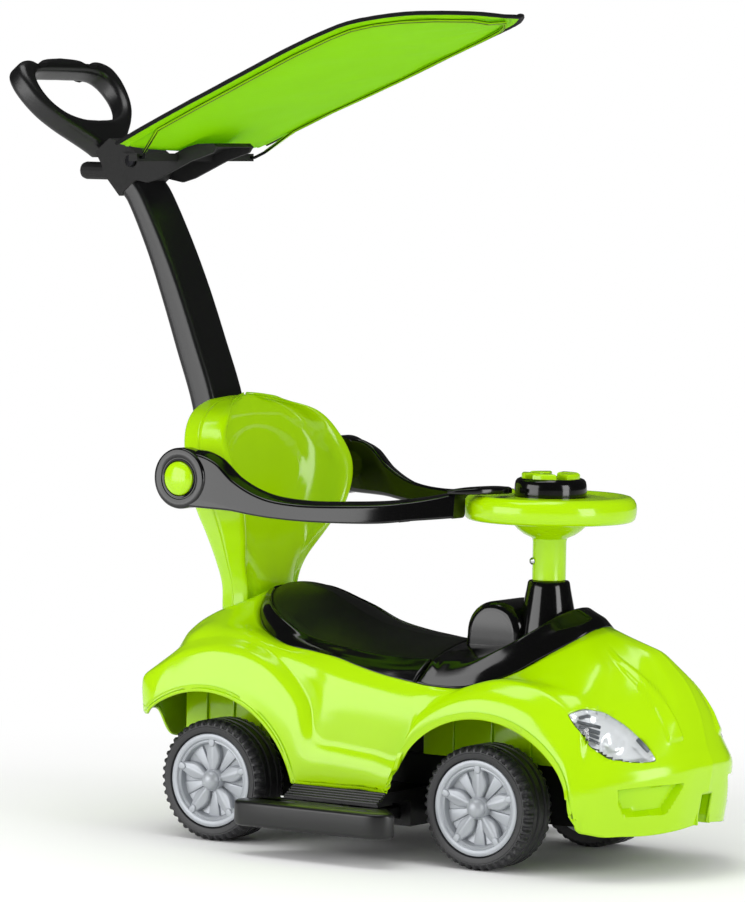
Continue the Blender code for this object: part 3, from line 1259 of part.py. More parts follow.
def canopy_sag(rim, y):
    """How far the fabric hangs below a rim point, at a distance from the symmetry plane."""
    depth = CANOPY_SAG * MM * min(1.0, rim.y / 0.10)
    share = min(y / rim.y, 1.0)
    for near, far, low, high in ((0.0, 0.33, 1.0, 0.9), (0.33, 0.66, 0.9, 0.4), (0.66, 1.0, 0.4, 0.0)):
        if share <= far:
            return depth * (low + (high - low) * (share - near) / (far - near))
    return 0.0


def canopy_height(edge, point):
    """The fabric's height over a point, from the rim on both sides of it."""
    for here, ahead in zip(edge, edge[1:]):
        if here.x <= point.x <= ahead.x:
            rim = here.lerp(ahead, (point.x - here.x) / (ahead.x - here.x))
            return rim.z - canopy_sag(rim, point.y)
    return edge[-1].z


def build_canopy():
    edge = canopy_rim()
    columns = []
    for point in edge:
        across = [point.y * share for share in (1.0, 0.66, 0.33, 0.0)]
        columns.append([Vector((point.x, y, point.z - canopy_sag(point, y))) for y in across])
    mirrored_sheet("canopy_fabric", columns, FABRIC, CANOPY_THICKNESS)
    below = CANOPY_THICKNESS + CANOPY_WIRE_RADIUS + GAP * 3
    bar_front = REAR_X + CROSSBAR_X + 0.006 + GAP
    wire_half = [Vector((bar_front, 0.112, CROSSBAR_Z)), Vector((bar_front + 0.005, 0.112, CROSSBAR_Z))]
    wire_half.append(Vector((bar_front + 0.012, 0.122, CROSSBAR_Z + 0.006)))
    for point in canopy_rim(-CANOPY_WIRE_INSET)[1:]:
        if point.y > WIRE_NOSE_HALF_WIDTH:
            wire_half.append(Vector((point.x, point.y, canopy_height(edge, point) - below)))
    nose = Vector((wire_half[-1].x, 0.0, 0.0))
    nose.z = canopy_height(edge, nose) - below
    wire = wire_half + [nose] + [Vector((point.x, -point.y, point.z)) for point in reversed(wire_half)]
    tube("canopy_frame", wire, CANOPY_WIRE_RADIUS, STEEL, sides_resolution=1)
    left = [point - Vector((0, 0, CANOPY_THICKNESS / 2)) for point in canopy_rim(BINDING_RADIUS + GAP)]
    binding = left + [Vector((point.x, -point.y, point.z)) for point in reversed(left)]
    tube("canopy_binding", binding, BINDING_RADIUS, BINDING, sides_resolution=1)


def along_y(offset=(0.0, 0.0, 0.0)):
    """A place whose outline lies in the XZ plane, with its thickness along Y."""
    return Matrix.Translation(Vector(offset)) @ Matrix.Rotation(math.radians(90), 4, "X")


def build_bracket():
    """The canopy's bracket: two cheeks on the clamp, a channel ahead of them and a crossbar."""
    pivot_x = REAR_X + CANOPY_PIVOT[0]
    pivot_z = CANOPY_PIVOT[1]
    outline = [(REAR_X + x * MM, z * MM) for x, z in BRACKET_OUTLINE]
    half = POLE_HALF_WIDTH + GAP + CHEEK_THICKNESS
    bracket = outline_plate("canopy_bracket", outline, half, along_y(), SATIN_BLACK)
    inner = POLE_HALF_WIDTH + GAP
    lowered = [(x + 0.002, z - 0.0035) for x, z in outline]
    cut(bracket, outline_plate("channel_inside", lowered, inner, along_y()))
    swing = (pivot_x, inner, pivot_z)
    cut(bracket, rod("clamp_swing", (pivot_x, -inner, pivot_z), swing, CHEEK_SWING_RADIUS, sides=20))
    cut(bracket, block("clamp_room", (pivot_x - 0.05, -inner, pivot_z - 0.05), (pivot_x, inner, pivot_z + 0.05)))
    bar_x = REAR_X + CROSSBAR_X
    join(bracket, block("crossbar", (bar_x - 0.006, -CROSSBAR_HALF_LENGTH, CROSSBAR_Z - 0.0045),
                        (bar_x + 0.006, CROSSBAR_HALF_LENGTH, CROSSBAR_Z + 0.0045)))
    bore = CANOPY_BOLT_RADIUS + GAP
    cut(bracket, rod("bracket_bolt_bore", (pivot_x, -0.06, pivot_z), (pivot_x, 0.06, pivot_z), bore))
    set_origin(bracket, (pivot_x, 0.0, pivot_z))
    cut(bpy.data.objects["canopy_clamp"],
        rod("clamp_bolt_bore", (pivot_x, -0.06, pivot_z), (pivot_x, 0.06, pivot_z), bore))
    reach = half + GAP
    turned("clamp_bolt", (
        (0.0, reach + 0.004), (0.006, reach + 0.0035), (0.0075, reach + 0.002), (0.0075, reach),
        (CANOPY_BOLT_RADIUS, reach), (CANOPY_BOLT_RADIUS, -reach), (0.0075, -reach), (0.0075, -reach - 0.004),
        (0.0, -reach - 0.004),
    ), Matrix.Translation((pivot_x, 0, pivot_z)) @ facing(-1), STEEL, 16)


def build_knob():
    """The screw knob behind the clamp, whose stem runs into the clamp."""
    end_x = REAR_X + KNOB_END_X
    stem_end = end_x + 0.070
    place = Matrix.Translation((end_x, 0, KNOB_Z)) @ Matrix.Rotation(math.radians(90), 4, "Y")
    radius = KNOB_RADIUS
    stem = 0.004
    turned("clamp_knob", (
        (0.0, 0.070), (stem, 0.070), (stem, 0.0575), (0.0065, 0.0575), (0.0065, 0.046), (radius, 0.044),
        (radius, 0.006), (radius * 0.86, 0.0022), (radius * 0.5, 0.0004), (0.0, 0.0),
    ), place, SATIN_BLACK, 16)
    cut(bpy.data.objects["canopy_clamp"],
        rod("knob_bore", (end_x + 0.02, 0, KNOB_Z), (stem_end + GAP * 2, 0, KNOB_Z), stem + GAP))
    cut(bpy.data.objects["canopy_clamp"],
        rod("knob_seat", (end_x + 0.02, 0, KNOB_Z), (end_x + 0.0575 + GAP, 0, KNOB_Z), 0.0065 + GAP))


def guard_section(station):
    x, outer_y, foot, top, side = station
    width = GUARD_WIDTH
    height = top - foot
    corner = min(0.006, height / 4)
    loop = (
        (outer_y, foot + corner), (outer_y - corner, foot), (outer_y - width + corner, foot),
        (outer_y - width, foot + corner), (outer_y - width, top - corner * 1.6),
        (outer_y - width + corner, top), (outer_y - corner * 1.2, top), (outer_y, top - corner * 1.6),
    )
    return [Vector((x, side * y, z)) for y, z in loop]


def build_guards():
    stations = [(REAR_X + x * MM, y * MM, foot * MM, top * MM) for x, y, foot, top in GUARD_STATIONS]
    stations += [(FRONT_X + x * MM, y * MM, foot * MM, top * MM) for x, y, foot, top in GUARD_FRONT_STATIONS]
    tongue = [(FRONT_X + x * MM, y * MM, foot * MM, top * MM) for x, y, foot, top in GUARD_TONGUE]
    pivot_x = REAR_X + GUARD_PIVOT_X
    for side, word in ((-1, "right"), (1, "left")):
        arm = swept(f"guard_arm_{word}", [(*station, side) for station in stations], guard_section, GLOSS_BLACK)
        inner_y = GUARD_OUTER_Y - GUARD_WIDTH
        disc = rod(f"guard_disc_{word}", (pivot_x, side * inner_y, GUARD_PIVOT_Z),
                   (pivot_x, side * (GUARD_OUTER_Y + 0.0005), GUARD_PIVOT_Z), GUARD_DISC_RADIUS, sides=32)
        join(arm, disc)
        join(arm, guard_tongue(tongue, side, word))
        ring = GUARD_BUTTON_RADIUS + GAP
        cut(arm, rod(f"button_pocket_{word}", (pivot_x, side * (inner_y + 0.008), GUARD_PIVOT_Z),
                     (pivot_x, side * (GUARD_OUTER_Y + 0.01), GUARD_PIVOT_Z), ring, sides=32))
        cut(arm, rod(f"pin_bore_{word}", (pivot_x, side * (inner_y - 0.01), GUARD_PIVOT_Z),
                     (pivot_x, side * (inner_y + 0.02), GUARD_PIVOT_Z), GUARD_PIN_RADIUS + GAP, sides=16))
        set_origin(arm, (pivot_x, 0.0, GUARD_PIVOT_Z))
        place = Matrix.Translation((pivot_x, side * (inner_y + 0.008 + GUARD_PRESS + GAP), GUARD_PIVOT_Z)) @ facing(side)
        height = GUARD_OUTER_Y - inner_y - 0.008 - GUARD_PRESS
        radius = GUARD_BUTTON_RADIUS
        turned(f"guard_button_{word}", (
            (0.0, height + 0.003),
            (radius * 0.5, height + 0.0025),
            (radius * 0.85, height + 0.0008),
            (radius, height - 0.0015),
            (radius, 0.0),
            (0.0, 0.0),
        ), place, LIME, 28)


def build_guard_pins():
    """Green bosses with a pin each: the inner end holds in the backrest, the outer end in the arm."""
    pivot_x = REAR_X + GUARD_PIVOT_X
    inner_y = GUARD_OUTER_Y - GUARD_WIDTH
    backrest_y = max(row[1] for row in BACKREST) * MM
    for side, word in ((-1, "right"), (1, "left")):
        place = Matrix.Translation((pivot_x, 0, GUARD_PIVOT_Z)) @ facing(side)
        radius = GUARD_PIN_RADIUS
        turned(f"guard_pin_{word}", (
            (0.0, inner_y + 0.0075), (radius - 0.001, inner_y + 0.0075), (radius, inner_y + 0.0065),
            (radius, inner_y - GAP), (0.016, inner_y - GAP), (0.018, backrest_y + 0.002),
            (radius, backrest_y + 0.002), (radius, backrest_y - 0.016), (0.0, backrest_y - 0.016),
        ), place, LIME, 16)


def guard_tongue(tongue, side, word):
    """The tongue that lies over the steering wheel, without touching it."""
    half = 0.0105
    bm = bmesh.new()
    loops = []
    for order, (x, y, foot, top) in enumerate(tongue):
        before = tongue[max(order - 1, 0)]
        after = tongue[min(order + 1, len(tongue) - 1)]
        direction = Vector((after[0] - before[0], after[1] - before[1], 0.0)).normalized()
        across = Vector((-direction.y, direction.x, 0.0)) * half
        centre = Vector((x, y - 0.008, 0.0))
        corners = (centre - across, centre + across)
        loop = [Vector((corners[0].x, corners[0].y, foot)), Vector((corners[1].x, corners[1].y, foot)),
                Vector((corners[1].x, corners[1].y, top - 0.003)), Vector((centre.x, centre.y, top)),
                Vector((corners[0].x, corners[0].y, top - 0.003))]
        loops.append([bm.verts.new((point.x, side * point.y, point.z)) for point in loop])
    for here, ahead in zip(loops, loops[1:]):
        for at in range(len(here)):
            after = (at + 1) % len(here)
            bm.faces.new((here[at], here[after], ahead[after], ahead[at]))
    bm.faces.new(loops[0])
    bm.faces.new(loops[-1])
    bmesh.ops.recalc_face_normals(bm, faces=bm.faces)
    return add_bmesh(f"guard_tongue_{word}", bm, None, True)


build_body()
build_underbody()
build_footrests()
build_cowl()
build_seat()
build_wheels()
build_steering()
build_steering_wheel()
build_backrest()
clamp_place = build_clamp(build_pole())
build_handle(clamp_place)
build_canopy()
build_bracket()
build_knob()
build_guards()
build_guard_pins()
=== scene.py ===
"""Looks of the foot-to-floor ride-on car: fine pieces, finishes, studio light and camera.

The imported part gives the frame. Feature lines are in millimetres and MM turns them into metres.
+X is forward, +Y is the car's left and +Z is up. The camera sees the right side and the nose.
"""

import json
import logging
import math
from dataclasses import dataclass
from enum import Enum
from typing import Callable, Sequence

import bmesh
import bpy
from mathutils import Matrix, Vector, noise


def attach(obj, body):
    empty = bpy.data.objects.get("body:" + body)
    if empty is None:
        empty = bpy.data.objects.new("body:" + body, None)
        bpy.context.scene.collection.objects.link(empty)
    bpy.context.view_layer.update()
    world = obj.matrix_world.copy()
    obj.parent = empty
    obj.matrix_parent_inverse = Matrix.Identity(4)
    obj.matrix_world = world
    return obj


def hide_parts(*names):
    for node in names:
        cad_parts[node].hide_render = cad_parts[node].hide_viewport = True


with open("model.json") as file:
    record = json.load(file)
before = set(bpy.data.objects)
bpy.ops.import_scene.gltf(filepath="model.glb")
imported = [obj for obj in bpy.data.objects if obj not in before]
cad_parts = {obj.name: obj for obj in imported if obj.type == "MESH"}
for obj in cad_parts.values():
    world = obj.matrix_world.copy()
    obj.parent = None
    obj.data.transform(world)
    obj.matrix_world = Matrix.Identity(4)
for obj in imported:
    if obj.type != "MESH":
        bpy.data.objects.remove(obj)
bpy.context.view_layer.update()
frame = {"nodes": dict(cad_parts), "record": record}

LOG = logging.getLogger("ride_on_car")
MM = 0.001
Point = Sequence[float]
Piece = bpy.types.Object

WHEELBASE = 0.362
MIDDLE_X = 0.06885
REAR_X = MIDDLE_X - WHEELBASE / 2
FRONT_X = MIDDLE_X + WHEELBASE / 2
AXLE_Z = 0.070
POLYMER_IOR = 1.49
# The wave texture turns by this many radians in one unit of length.
WAVE_RADIANS = 20.0
# Points that lie nearer than these, in metres, are merged.
SAME_SPOT = 1e-6
SYMMETRY_GAP = 1e-5


class Side(Enum):
    """One side of the car, with its sign along Y."""

    RIGHT = -1
    LEFT = 1


SIDES = tuple((side.value, side.name.lower()) for side in Side)


# Colours and nodes


def linear(code: str) -> tuple[float, float, float, float]:
    """Turns an sRGB hex code into a linear colour.

    Args:
        code: Six hex digits.

    Returns:
        Red, green and blue in linear light, with an alpha of 1.
    """
    channels = []
    for at in (0, 2, 4):
        value = int(code[at:at + 2], 16) / 255
        channels.append(value / 12.92 if value <= 0.04045 else ((value + 0.055) / 1.055) ** 2.4)
    return (channels[0], channels[1], channels[2], 1.0)


def add_node(tree: bpy.types.NodeTree, kind: str, inputs: dict | None = None, **settings) -> bpy.types.Node:
    """Adds a node with its settings, socket values and incoming links.

    Args:
        tree: The node tree.
        kind: The node's type name.
        inputs: Socket names or numbers, each with a value or with the output socket to link.
        **settings: Properties of the node itself.

    Returns:
        The new node.
    """
    made = tree.nodes.new(kind)
    for name, value in settings.items():
        setattr(made, name, value)
    for name, value in (inputs or {}).items():
        if isinstance(value, bpy.types.NodeSocket):
            tree.links.new(value, made.inputs[name])
        else:
            made.inputs[name].default_value = value
    return made


def new_material(name: str) -> tuple[bpy.types.Material, bpy.types.NodeTree]:
    """Makes a material with an empty node tree and returns both."""
    material = bpy.data.materials.new(name)
    material.use_nodes = True
    material.node_tree.nodes.clear()
    return material, material.node_tree


def two_tone(tree: bpy.types.NodeTree, share: bpy.types.NodeSocket, first: str,
             second: str) -> bpy.types.NodeSocket:
    """Mixes two sRGB hex colours by a share and returns the colour's socket."""
    mix = add_node(tree, "ShaderNodeMix", {0: share}, data_type="RGBA")
    mix.inputs[6].default_value = linear(first)
    mix.inputs[7].default_value = linear(second)
    return mix.outputs[2]


def span(tree: bpy.types.NodeTree, value: bpy.types.NodeSocket, low: float,
         high: float) -> bpy.types.NodeSocket:
    """Spreads a value from 0 to 1 between two limits and returns the result's socket."""
    ranged = add_node(tree, "ShaderNodeMapRange", {"Value": value, "To Min": low, "To Max": high})
    return ranged.outputs["Result"]


@dataclass(frozen=True)
class Plastic:
    """A moulded plastic with its pigment, gloss and the texture of its mould.

    ripple_mm is the width of the long waves that sinking leaves, and grain_mm that of the etched grain.
    """

    name: str
    colour: str
    deep: str
    roughness: float
    ripple_mm: float = 45.0
    ripple_height_mm: float = 0.05
    grain_mm: float = 2.0
    grain_height_mm: float = 0.0
    metallic: float = 0.0
    transmission: float = 0.0

    def build(self) -> bpy.types.Material:
        """Returns the finish as a node material."""
        material, tree = new_material(self.name)
        place = add_node(tree, "ShaderNodeTexCoord").outputs["Object"]
        wave = {"Vector": place, "Scale": 1000.0 / self.ripple_mm, "Detail": 2.0}
        ripple = add_node(tree, "ShaderNodeTexNoise", wave).outputs["Fac"]
        fine = {"Vector": place, "Scale": 1000.0 / self.grain_mm, "Detail": 3.0}
        grain = add_node(tree, "ShaderNodeTexNoise", fine).outputs["Fac"]
        shader = add_node(tree, "ShaderNodeBsdfPrincipled", {
            "Base Color": two_tone(tree, ripple, self.colour, self.deep),
            "Roughness": span(tree, grain, self.roughness * 0.88, self.roughness * 1.12),
            "Metallic": self.metallic,
            "Transmission Weight": self.transmission,
        })
        if not self.metallic:
            shader.inputs["IOR"].default_value = POLYMER_IOR
        long_waves = add_node(tree, "ShaderNodeBump", {
            "Height": ripple, "Distance": self.ripple_height_mm * MM, "Strength": 1.0})
        if self.grain_height_mm:
            etched = add_node(tree, "ShaderNodeBump", {
                "Height": grain, "Distance": self.grain_height_mm * MM, "Strength": 1.0,
                "Normal": long_waves.outputs["Normal"]})
            tree.links.new(etched.outputs["Normal"], shader.inputs["Normal"])
        else:
            tree.links.new(long_waves.outputs["Normal"], shader.inputs["Normal"])
        add_node(tree, "ShaderNodeOutputMaterial", {"Surface": shader.outputs["BSDF"]})
        return material


@dataclass(frozen=True)
class Metal:
    """A metal surface with fine unevenness left by plating or drawing."""

    name: str
    colour: str
    deep: str
    roughness: float
    grain_mm: float
    height_mm: float

    def build(self) -> bpy.types.Material:
        """Returns the finish as a node material."""
        material, tree = new_material(self.name)
        place = add_node(tree, "ShaderNodeTexCoord").outputs["Object"]
        fine = {"Vector": place, "Scale": 1000.0 / self.grain_mm, "Detail": 3.0}
        grain = add_node(tree, "ShaderNodeTexNoise", fine).outputs["Fac"]
        bump = add_node(tree, "ShaderNodeBump", {
            "Height": grain, "Distance": self.height_mm * MM, "Strength": 1.0})
        shader = add_node(tree, "ShaderNodeBsdfPrincipled", {
            "Base Color": two_tone(tree, grain, self.colour, self.deep),
            "Roughness": span(tree, grain, self.roughness * 0.8, self.roughness * 1.25),
            "Metallic": 1.0,
            "Normal": bump.outputs["Normal"],
        })
        add_node(tree, "ShaderNodeOutputMaterial", {"Surface": shader.outputs["BSDF"]})
        return material


@dataclass(frozen=True)
class Weave:
    """A plain-woven polyester, whose threads run along the cloth's own UV map, in metres.

    The drawn threads repeat every tau times thread_mm, far coarser than real ones, so that they show.
    """

    name: str
    colour: str
    deep: str
    thread_mm: float
    roughness: float
    glow: float

    def build(self) -> bpy.types.Material:
        """Returns the finish as a node material."""
        material, tree = new_material(self.name)
        cloth = add_node(tree, "ShaderNodeUVMap", uv_map="cloth").outputs["UV"]
        threads = []
        for direction in ("X", "Y"):
            wave = add_node(tree, "ShaderNodeTexWave", {
                "Vector": cloth, "Scale": 1.0 / (WAVE_RADIANS * self.thread_mm * MM), "Distortion": 0.4,
            }, bands_direction=direction)
            threads.append(wave.outputs["Fac"])
        crossing = add_node(tree, "ShaderNodeMath", {0: threads[0], 1: threads[1]}, operation="MULTIPLY")
        patches = {"Vector": cloth, "Scale": 14.0, "Detail": 3.0}
        patch = add_node(tree, "ShaderNodeTexNoise", patches).outputs["Fac"]
        bump = add_node(tree, "ShaderNodeBump", {
            "Height": crossing.outputs["Value"], "Distance": 0.15 * MM, "Strength": 0.6})
        colour = two_tone(tree, patch, self.colour, self.deep)
        shader = add_node(tree, "ShaderNodeBsdfPrincipled", {
            "Base Color": colour,
            "Roughness": span(tree, patch, self.roughness * 0.92, self.roughness * 1.08),
            "Specular IOR Level": 0.12,
            "Normal": bump.outputs["Normal"],
        })
        through = add_node(tree, "ShaderNodeBsdfTranslucent", {
            "Color": colour, "Normal": bump.outputs["Normal"]})
        both = add_node(tree, "ShaderNodeMixShader", {
            0: self.glow, 1: shader.outputs["BSDF"], 2: through.outputs["BSDF"]})
        add_node(tree, "ShaderNodeOutputMaterial", {"Surface": both.outputs["Shader"]})
        return material


# Blow-moulded polypropylene: bright pigment and a clean gloss, with the faint waves of a thin wall.
LIME = Plastic("blow_moulded_polypropylene_lime", "AADA00", "A4D500", 0.15, 60.0, 0.10, 3.0)
# Polished ABS, black: almost mirror-smooth, so it shows the softboxes as clean strips.
GLOSS_BLACK = Plastic("polished_abs_black", "060607", "090909", 0.12, 55.0, 0.05, 3.0)
# Injection-moulded polypropylene, black, from an etched mould: a soft sheen and a fine grain.
SATIN_BLACK = Plastic("etched_polypropylene_black", "0E0E0F", "131314", 0.32, 50.0, 0.05, 1.6, 0.02)
# The seat's leather-like etching is coarser than that of the other black pieces.
SEAT_BLACK = Plastic("leather_grain_polypropylene_black", "070707", "0B0B0B", 0.40, 50.0, 0.05, 1.8, 0.045)
# Glass-filled nylon of the canopy clamp: dull and dark, with hardly any gloss.
NYLON_BLACK = Plastic("glass_filled_nylon_black", "070707", "0B0B0B", 0.72, 40.0, 0.05, 1.2, 0.02)
# Hollow polyethylene tyres: a waxy dark grey with a dull sheen.
TYRE = Plastic("moulded_polyethylene_tyre", "222224", "29292B", 0.42, 30.0, 0.05, 1.4, 0.02)
# Polypropylene with aluminium flakes: grey with a broad, soft metallic sheen.
SILVER = Plastic("metal_flake_polypropylene_silver", "ACB0B5", "A3A7AD", 0.38, 25.0, 0.03, 1.2, 0.006,
                 metallic=0.30)
# Clear polycarbonate of a lamp lens.
CLEAR = Plastic("clear_polycarbonate", "FFFFFF", "FBFDFE", 0.03, 30.0, 0.03, 3.0, transmission=1.0)
# Zinc-plated steel: slightly mottled grey.
STEEL = Metal("zinc_plated_steel", "C9CBCD", "B4B7BA", 0.28, 3.0, 0.01)
# Black-oxide steel of the clamp bolt's head, dark like the clamp about it.
BLACK_STEEL = Metal("black_oxide_steel", "1C1C1E", "141416", 0.35, 3.0, 0.01)
# Vacuum-metallised plastic of a lamp reflector.
CHROME = Plastic("vacuum_metallised_plastic", "F4F6F7", "E6E9EC", 0.16, 8.0, 0.05, 3.0, metallic=0.55)
# Dark grey paint of the reflector's fins.
FIN_GREY = Plastic("painted_reflector_fins_grey", "4A5054", "5A6064", 0.25, 20.0, 0.03)
# Woven polyester canopy cloth, which lets light through from above.
CLOTH = Weave("woven_polyester_lime", "A8E400", "A0DC00", 0.9, 0.62, 0.42)
# Polyester binding tape.
TAPE = Weave("polyester_binding_tape_black", "0E0E0F", "151516", 0.8, 0.7, 0.0)

SLOT_FINISHES = {
    "lime_plastic": LIME,
    "gloss_black_plastic": GLOSS_BLACK,
    "satin_black_plastic": SATIN_BLACK,
    "tyre_black_plastic": TYRE,
    "silver_plastic": SILVER,
    "zinc_steel": STEEL,
    "chromed_plastic": CHROME,
    "clear_plastic": CLEAR,
    "lime_polyester": CLOTH,
    "black_polyester": TAPE,
}

# Nodes near the clamp that stay dull and dark in the photograph.
DARK_NODES = {"clamp_bolt": BLACK_STEEL, "canopy_frame": BLACK_STEEL, "canopy_clamp": NYLON_BLACK,
              "canopy_bracket": NYLON_BLACK, "clamp_knob": NYLON_BLACK}


class Paintbox:
    """Builds each finish once, when a piece first asks for it."""

    def __init__(self) -> None:
        """Starts with no material made."""
        self.made: dict[str, bpy.types.Material] = {}

    def of(self, finish: Plastic | Metal | Weave) -> bpy.types.Material:
        """Returns the material of a finish."""
        if finish.name not in self.made:
            self.made[finish.name] = finish.build()
        return self.made[finish.name]


PAINT = Paintbox()


# Curves and meshes


def metres(points: Sequence[Point], datum: float = 0.0) -> list[Vector]:
    """Turns feature points in millimetres into positions.

    Args:
        points: Points along the car, across it and up.
        datum: Where along the car they are measured from, in metres.

    Returns:
        The positions in metres.
    """
    return [Vector((datum + x * MM, y * MM, z * MM)) for x, y, z in points]


def curve_through(points: Sequence[Vector], counts: Sequence[int]) -> list[Vector]:
    """Runs a centripetal Catmull-Rom curve through points.

    Args:
        points: The points to pass through.
        counts: How many steps each stretch between two points gets.

    Returns:
        The points along the curve, ends included.
    """
    ends = [points[0] * 2 - points[1], *points, points[-1] * 2 - points[-2]]
    out = []
    for at, count in enumerate(counts):
        p0, p1, p2, p3 = ends[at:at + 4]
        t1 = max((p1 - p0).length, 1e-9) ** 0.5
        t2 = t1 + max((p2 - p1).length, 1e-9) ** 0.5
        t3 = t2 + max((p3 - p2).length, 1e-9) ** 0.5
        for step in range(count):
            t = t1 + (t2 - t1) * step / count
            a1 = p0.lerp(p1, t / t1)
            a2 = p1.lerp(p2, (t - t1) / (t2 - t1))
            a3 = p2.lerp(p3, (t - t2) / (t3 - t2))
            b1 = a1.lerp(a2, t / t2)
            b2 = a2.lerp(a3, (t - t1) / (t3 - t1))
            out.append(b1.lerp(b2, (t - t1) / (t2 - t1)))
    out.append(points[-1].copy())
    return out


def rounded(points: Sequence[Vector], radii: Sequence[float], splits: Sequence[int],
            steps: int = 3) -> list[Vector]:
    """Rounds the corners of a line of points.

    Args:
        points: The corners, ends included.
        radii: How far from each inner corner its rounding starts, in millimetres.
        splits: Into how many steps each straight stretch is split.
        steps: How many steps a rounding gets.

    Returns:
        The points of the rounded line, always as many for the same radii, splits and steps.
    """
    stations = [(points[0], points[0])]
    bends = [[points[0]]]
    for at in range(1, len(points) - 1):
        here = points[at]
        back = points[at - 1] - here
        ahead = points[at + 1] - here
        start = here + back.normalized() * min(radii[at - 1] * MM, back.length * 0.45)
        end = here + ahead.normalized() * min(radii[at - 1] * MM, ahead.length * 0.45)
        bend = []
        for step in range(steps + 1):
            share = step / steps
            bend.append(start.lerp(here, share).lerp(here.lerp(end, share), share))
        bends.append(bend)
    bends.append([points[-1]])
    out = []
    for at, bend in enumerate(bends):
        out += bend
        if at < len(bends) - 1:
            for split in range(1, splits[at]):
                out.append(bend[-1].lerp(bends[at + 1][0], split / splits[at]))
    return out


def heading(line: Sequence[Vector], at: int) -> Vector:
    """Returns the way along a line at one of its points, from the point before to the one after."""
    return line[min(at + 1, len(line) - 1)] - line[max(at - 1, 0)]


def middle_of(points: Sequence[Vector]) -> Vector:
    """Returns the mean of some points."""
    return sum(points, Vector()) / len(points)


def loft(rows: Sequence[Sequence[Vector]], closed_rows: bool = False) -> bmesh.types.BMesh:
    """Bends a flat grid over a net of positions.

    Args:
        rows: The positions, each row with as many points.
        closed_rows: Whether each row's last point lies on its first one, to be merged with it.

    Returns:
        The bent grid, still open along its edges.
    """
    bm = bmesh.new()
    across = len(rows) - 1
    down = len(rows[0]) - 1
    bmesh.ops.create_grid(bm, x_segments=across, y_segments=down, size=0.5)
    for vert in bm.verts:
        row = round((vert.co.x + 0.5) * across)
        column = round((vert.co.y + 0.5) * down)
        vert.co = rows[row][column]
    if closed_rows:
        bmesh.ops.remove_doubles(bm, verts=bm.verts, dist=SAME_SPOT)
    return bm


def look_out(bm: bmesh.types.BMesh, inside: Point) -> None:
    """Makes an open sheet's faces look away from a point within the piece."""
    bmesh.ops.recalc_face_normals(bm, faces=bm.faces)
    centre = Vector(inside)
    total = sum((face.calc_center_median() - centre).dot(face.normal) * face.calc_area() for face in bm.faces)
    if total < 0:
        bmesh.ops.reverse_faces(bm, faces=bm.faces)


def add_right_half(bm: bmesh.types.BMesh, inside: Point) -> None:
    """Joins the right half to a left half, with all faces looking away from a point within."""
    geometry = bm.verts[:] + bm.edges[:] + bm.faces[:]
    bmesh.ops.mirror(bm, geom=geometry, axis="Y", merge_dist=SYMMETRY_GAP)
    look_out(bm, inside)


def put_on_side(bm: bmesh.types.BMesh, side: int) -> None:
    """Moves a mesh that was made on the left to its own side."""
    if side == Side.RIGHT.value:
        bmesh.ops.scale(bm, vec=(1, -1, 1), verts=bm.verts)


def lay_cloth_map(bm: bmesh.types.BMesh, where: Callable[[Vector], tuple[float, float]]) -> None:
    """Adds the UV map that a weave follows.

    Args:
        bm: The mesh.
        where: Gives a position's place on the flat cloth, in metres.
    """
    cloth_map = bm.loops.layers.uv.new("cloth")
    for face in bm.faces:
        for corner in face.loops:
            corner[cloth_map].uv = where(corner.vert.co)


def place_piece(
    name: str,
    bm: bmesh.types.BMesh,
    finish: Plastic | Metal | Weave,
    body: str,
    nodes: Sequence[str] = (),
    angle: float = 40.0,
    wall: float = 0.0,
) -> Piece:
    """Makes a finished piece of a mesh.

    Args:
        name: The piece's name.
        bm: Its mesh in place, which is freed.
        finish: Its finish.
        body: The CAD body that it rides on.
        nodes: The CAD nodes that it stands for.
        angle: Edges sharper than this many degrees stay sharp.
        wall: The wall thickness in metres that an open sheet gets inwards.

    Returns:
        The piece.
    """
    mesh = bpy.data.meshes.new(name)
    bm.to_mesh(mesh)
    bm.free()
    mesh.shade_smooth()
    mesh.set_sharp_from_angle(angle=math.radians(angle))
    mesh.materials.append(PAINT.of(finish))
    piece = bpy.data.objects.new(name, mesh)
    bpy.context.scene.collection.objects.link(piece)
    if wall:
        solid = piece.modifiers.new("wall", "SOLIDIFY")
        solid.thickness = wall
        solid.offset = -1.0
    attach(piece, body)
    if nodes:
        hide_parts(*nodes)
    LOG.info("piece %s: %d faces on %s", name, len(mesh.polygons), body)
    return piece


def turned(profile: Sequence[tuple[float, float]], place: Matrix, steps: int = 48) -> bmesh.types.BMesh:
    """Spins a profile of radius and height, in metres, about the local Z axis of a place.

    Args:
        profile: The profile's points. Where it starts or ends on the axis it closes there.
        place: The place of the axis.
        steps: How many steps the turn has.

    Returns:
        The closed solid of revolution.
    """
    bm = bmesh.new()
    verts = [bm.verts.new((radius, 0.0, height)) for radius, height in profile]
    edges = [bm.edges.new(pair) for pair in zip(verts, verts[1:])]
    if profile[0][0] > 0 and profile[-1][0] > 0:
        edges.append(bm.edges.new((verts[-1], verts[0])))
    bmesh.ops.spin(bm, geom=verts + edges, cent=(0, 0, 0), axis=(0, 0, 1), angle=math.tau, steps=steps,
                   use_merge=True)
    bmesh.ops.remove_doubles(bm, verts=bm.verts, dist=SAME_SPOT)
    bmesh.ops.recalc_face_normals(bm, faces=bm.faces)
    bmesh.ops.transform(bm, matrix=place, verts=bm.verts)
    return bm


def add_mesh(into: bmesh.types.BMesh, other: bmesh.types.BMesh) -> None:
    """Adds one mesh's geometry to another's and frees it."""
    mesh = bpy.data.meshes.new("joined")
    other.to_mesh(mesh)
    other.free()
    into.from_mesh(mesh)
    bpy.data.meshes.remove(mesh)


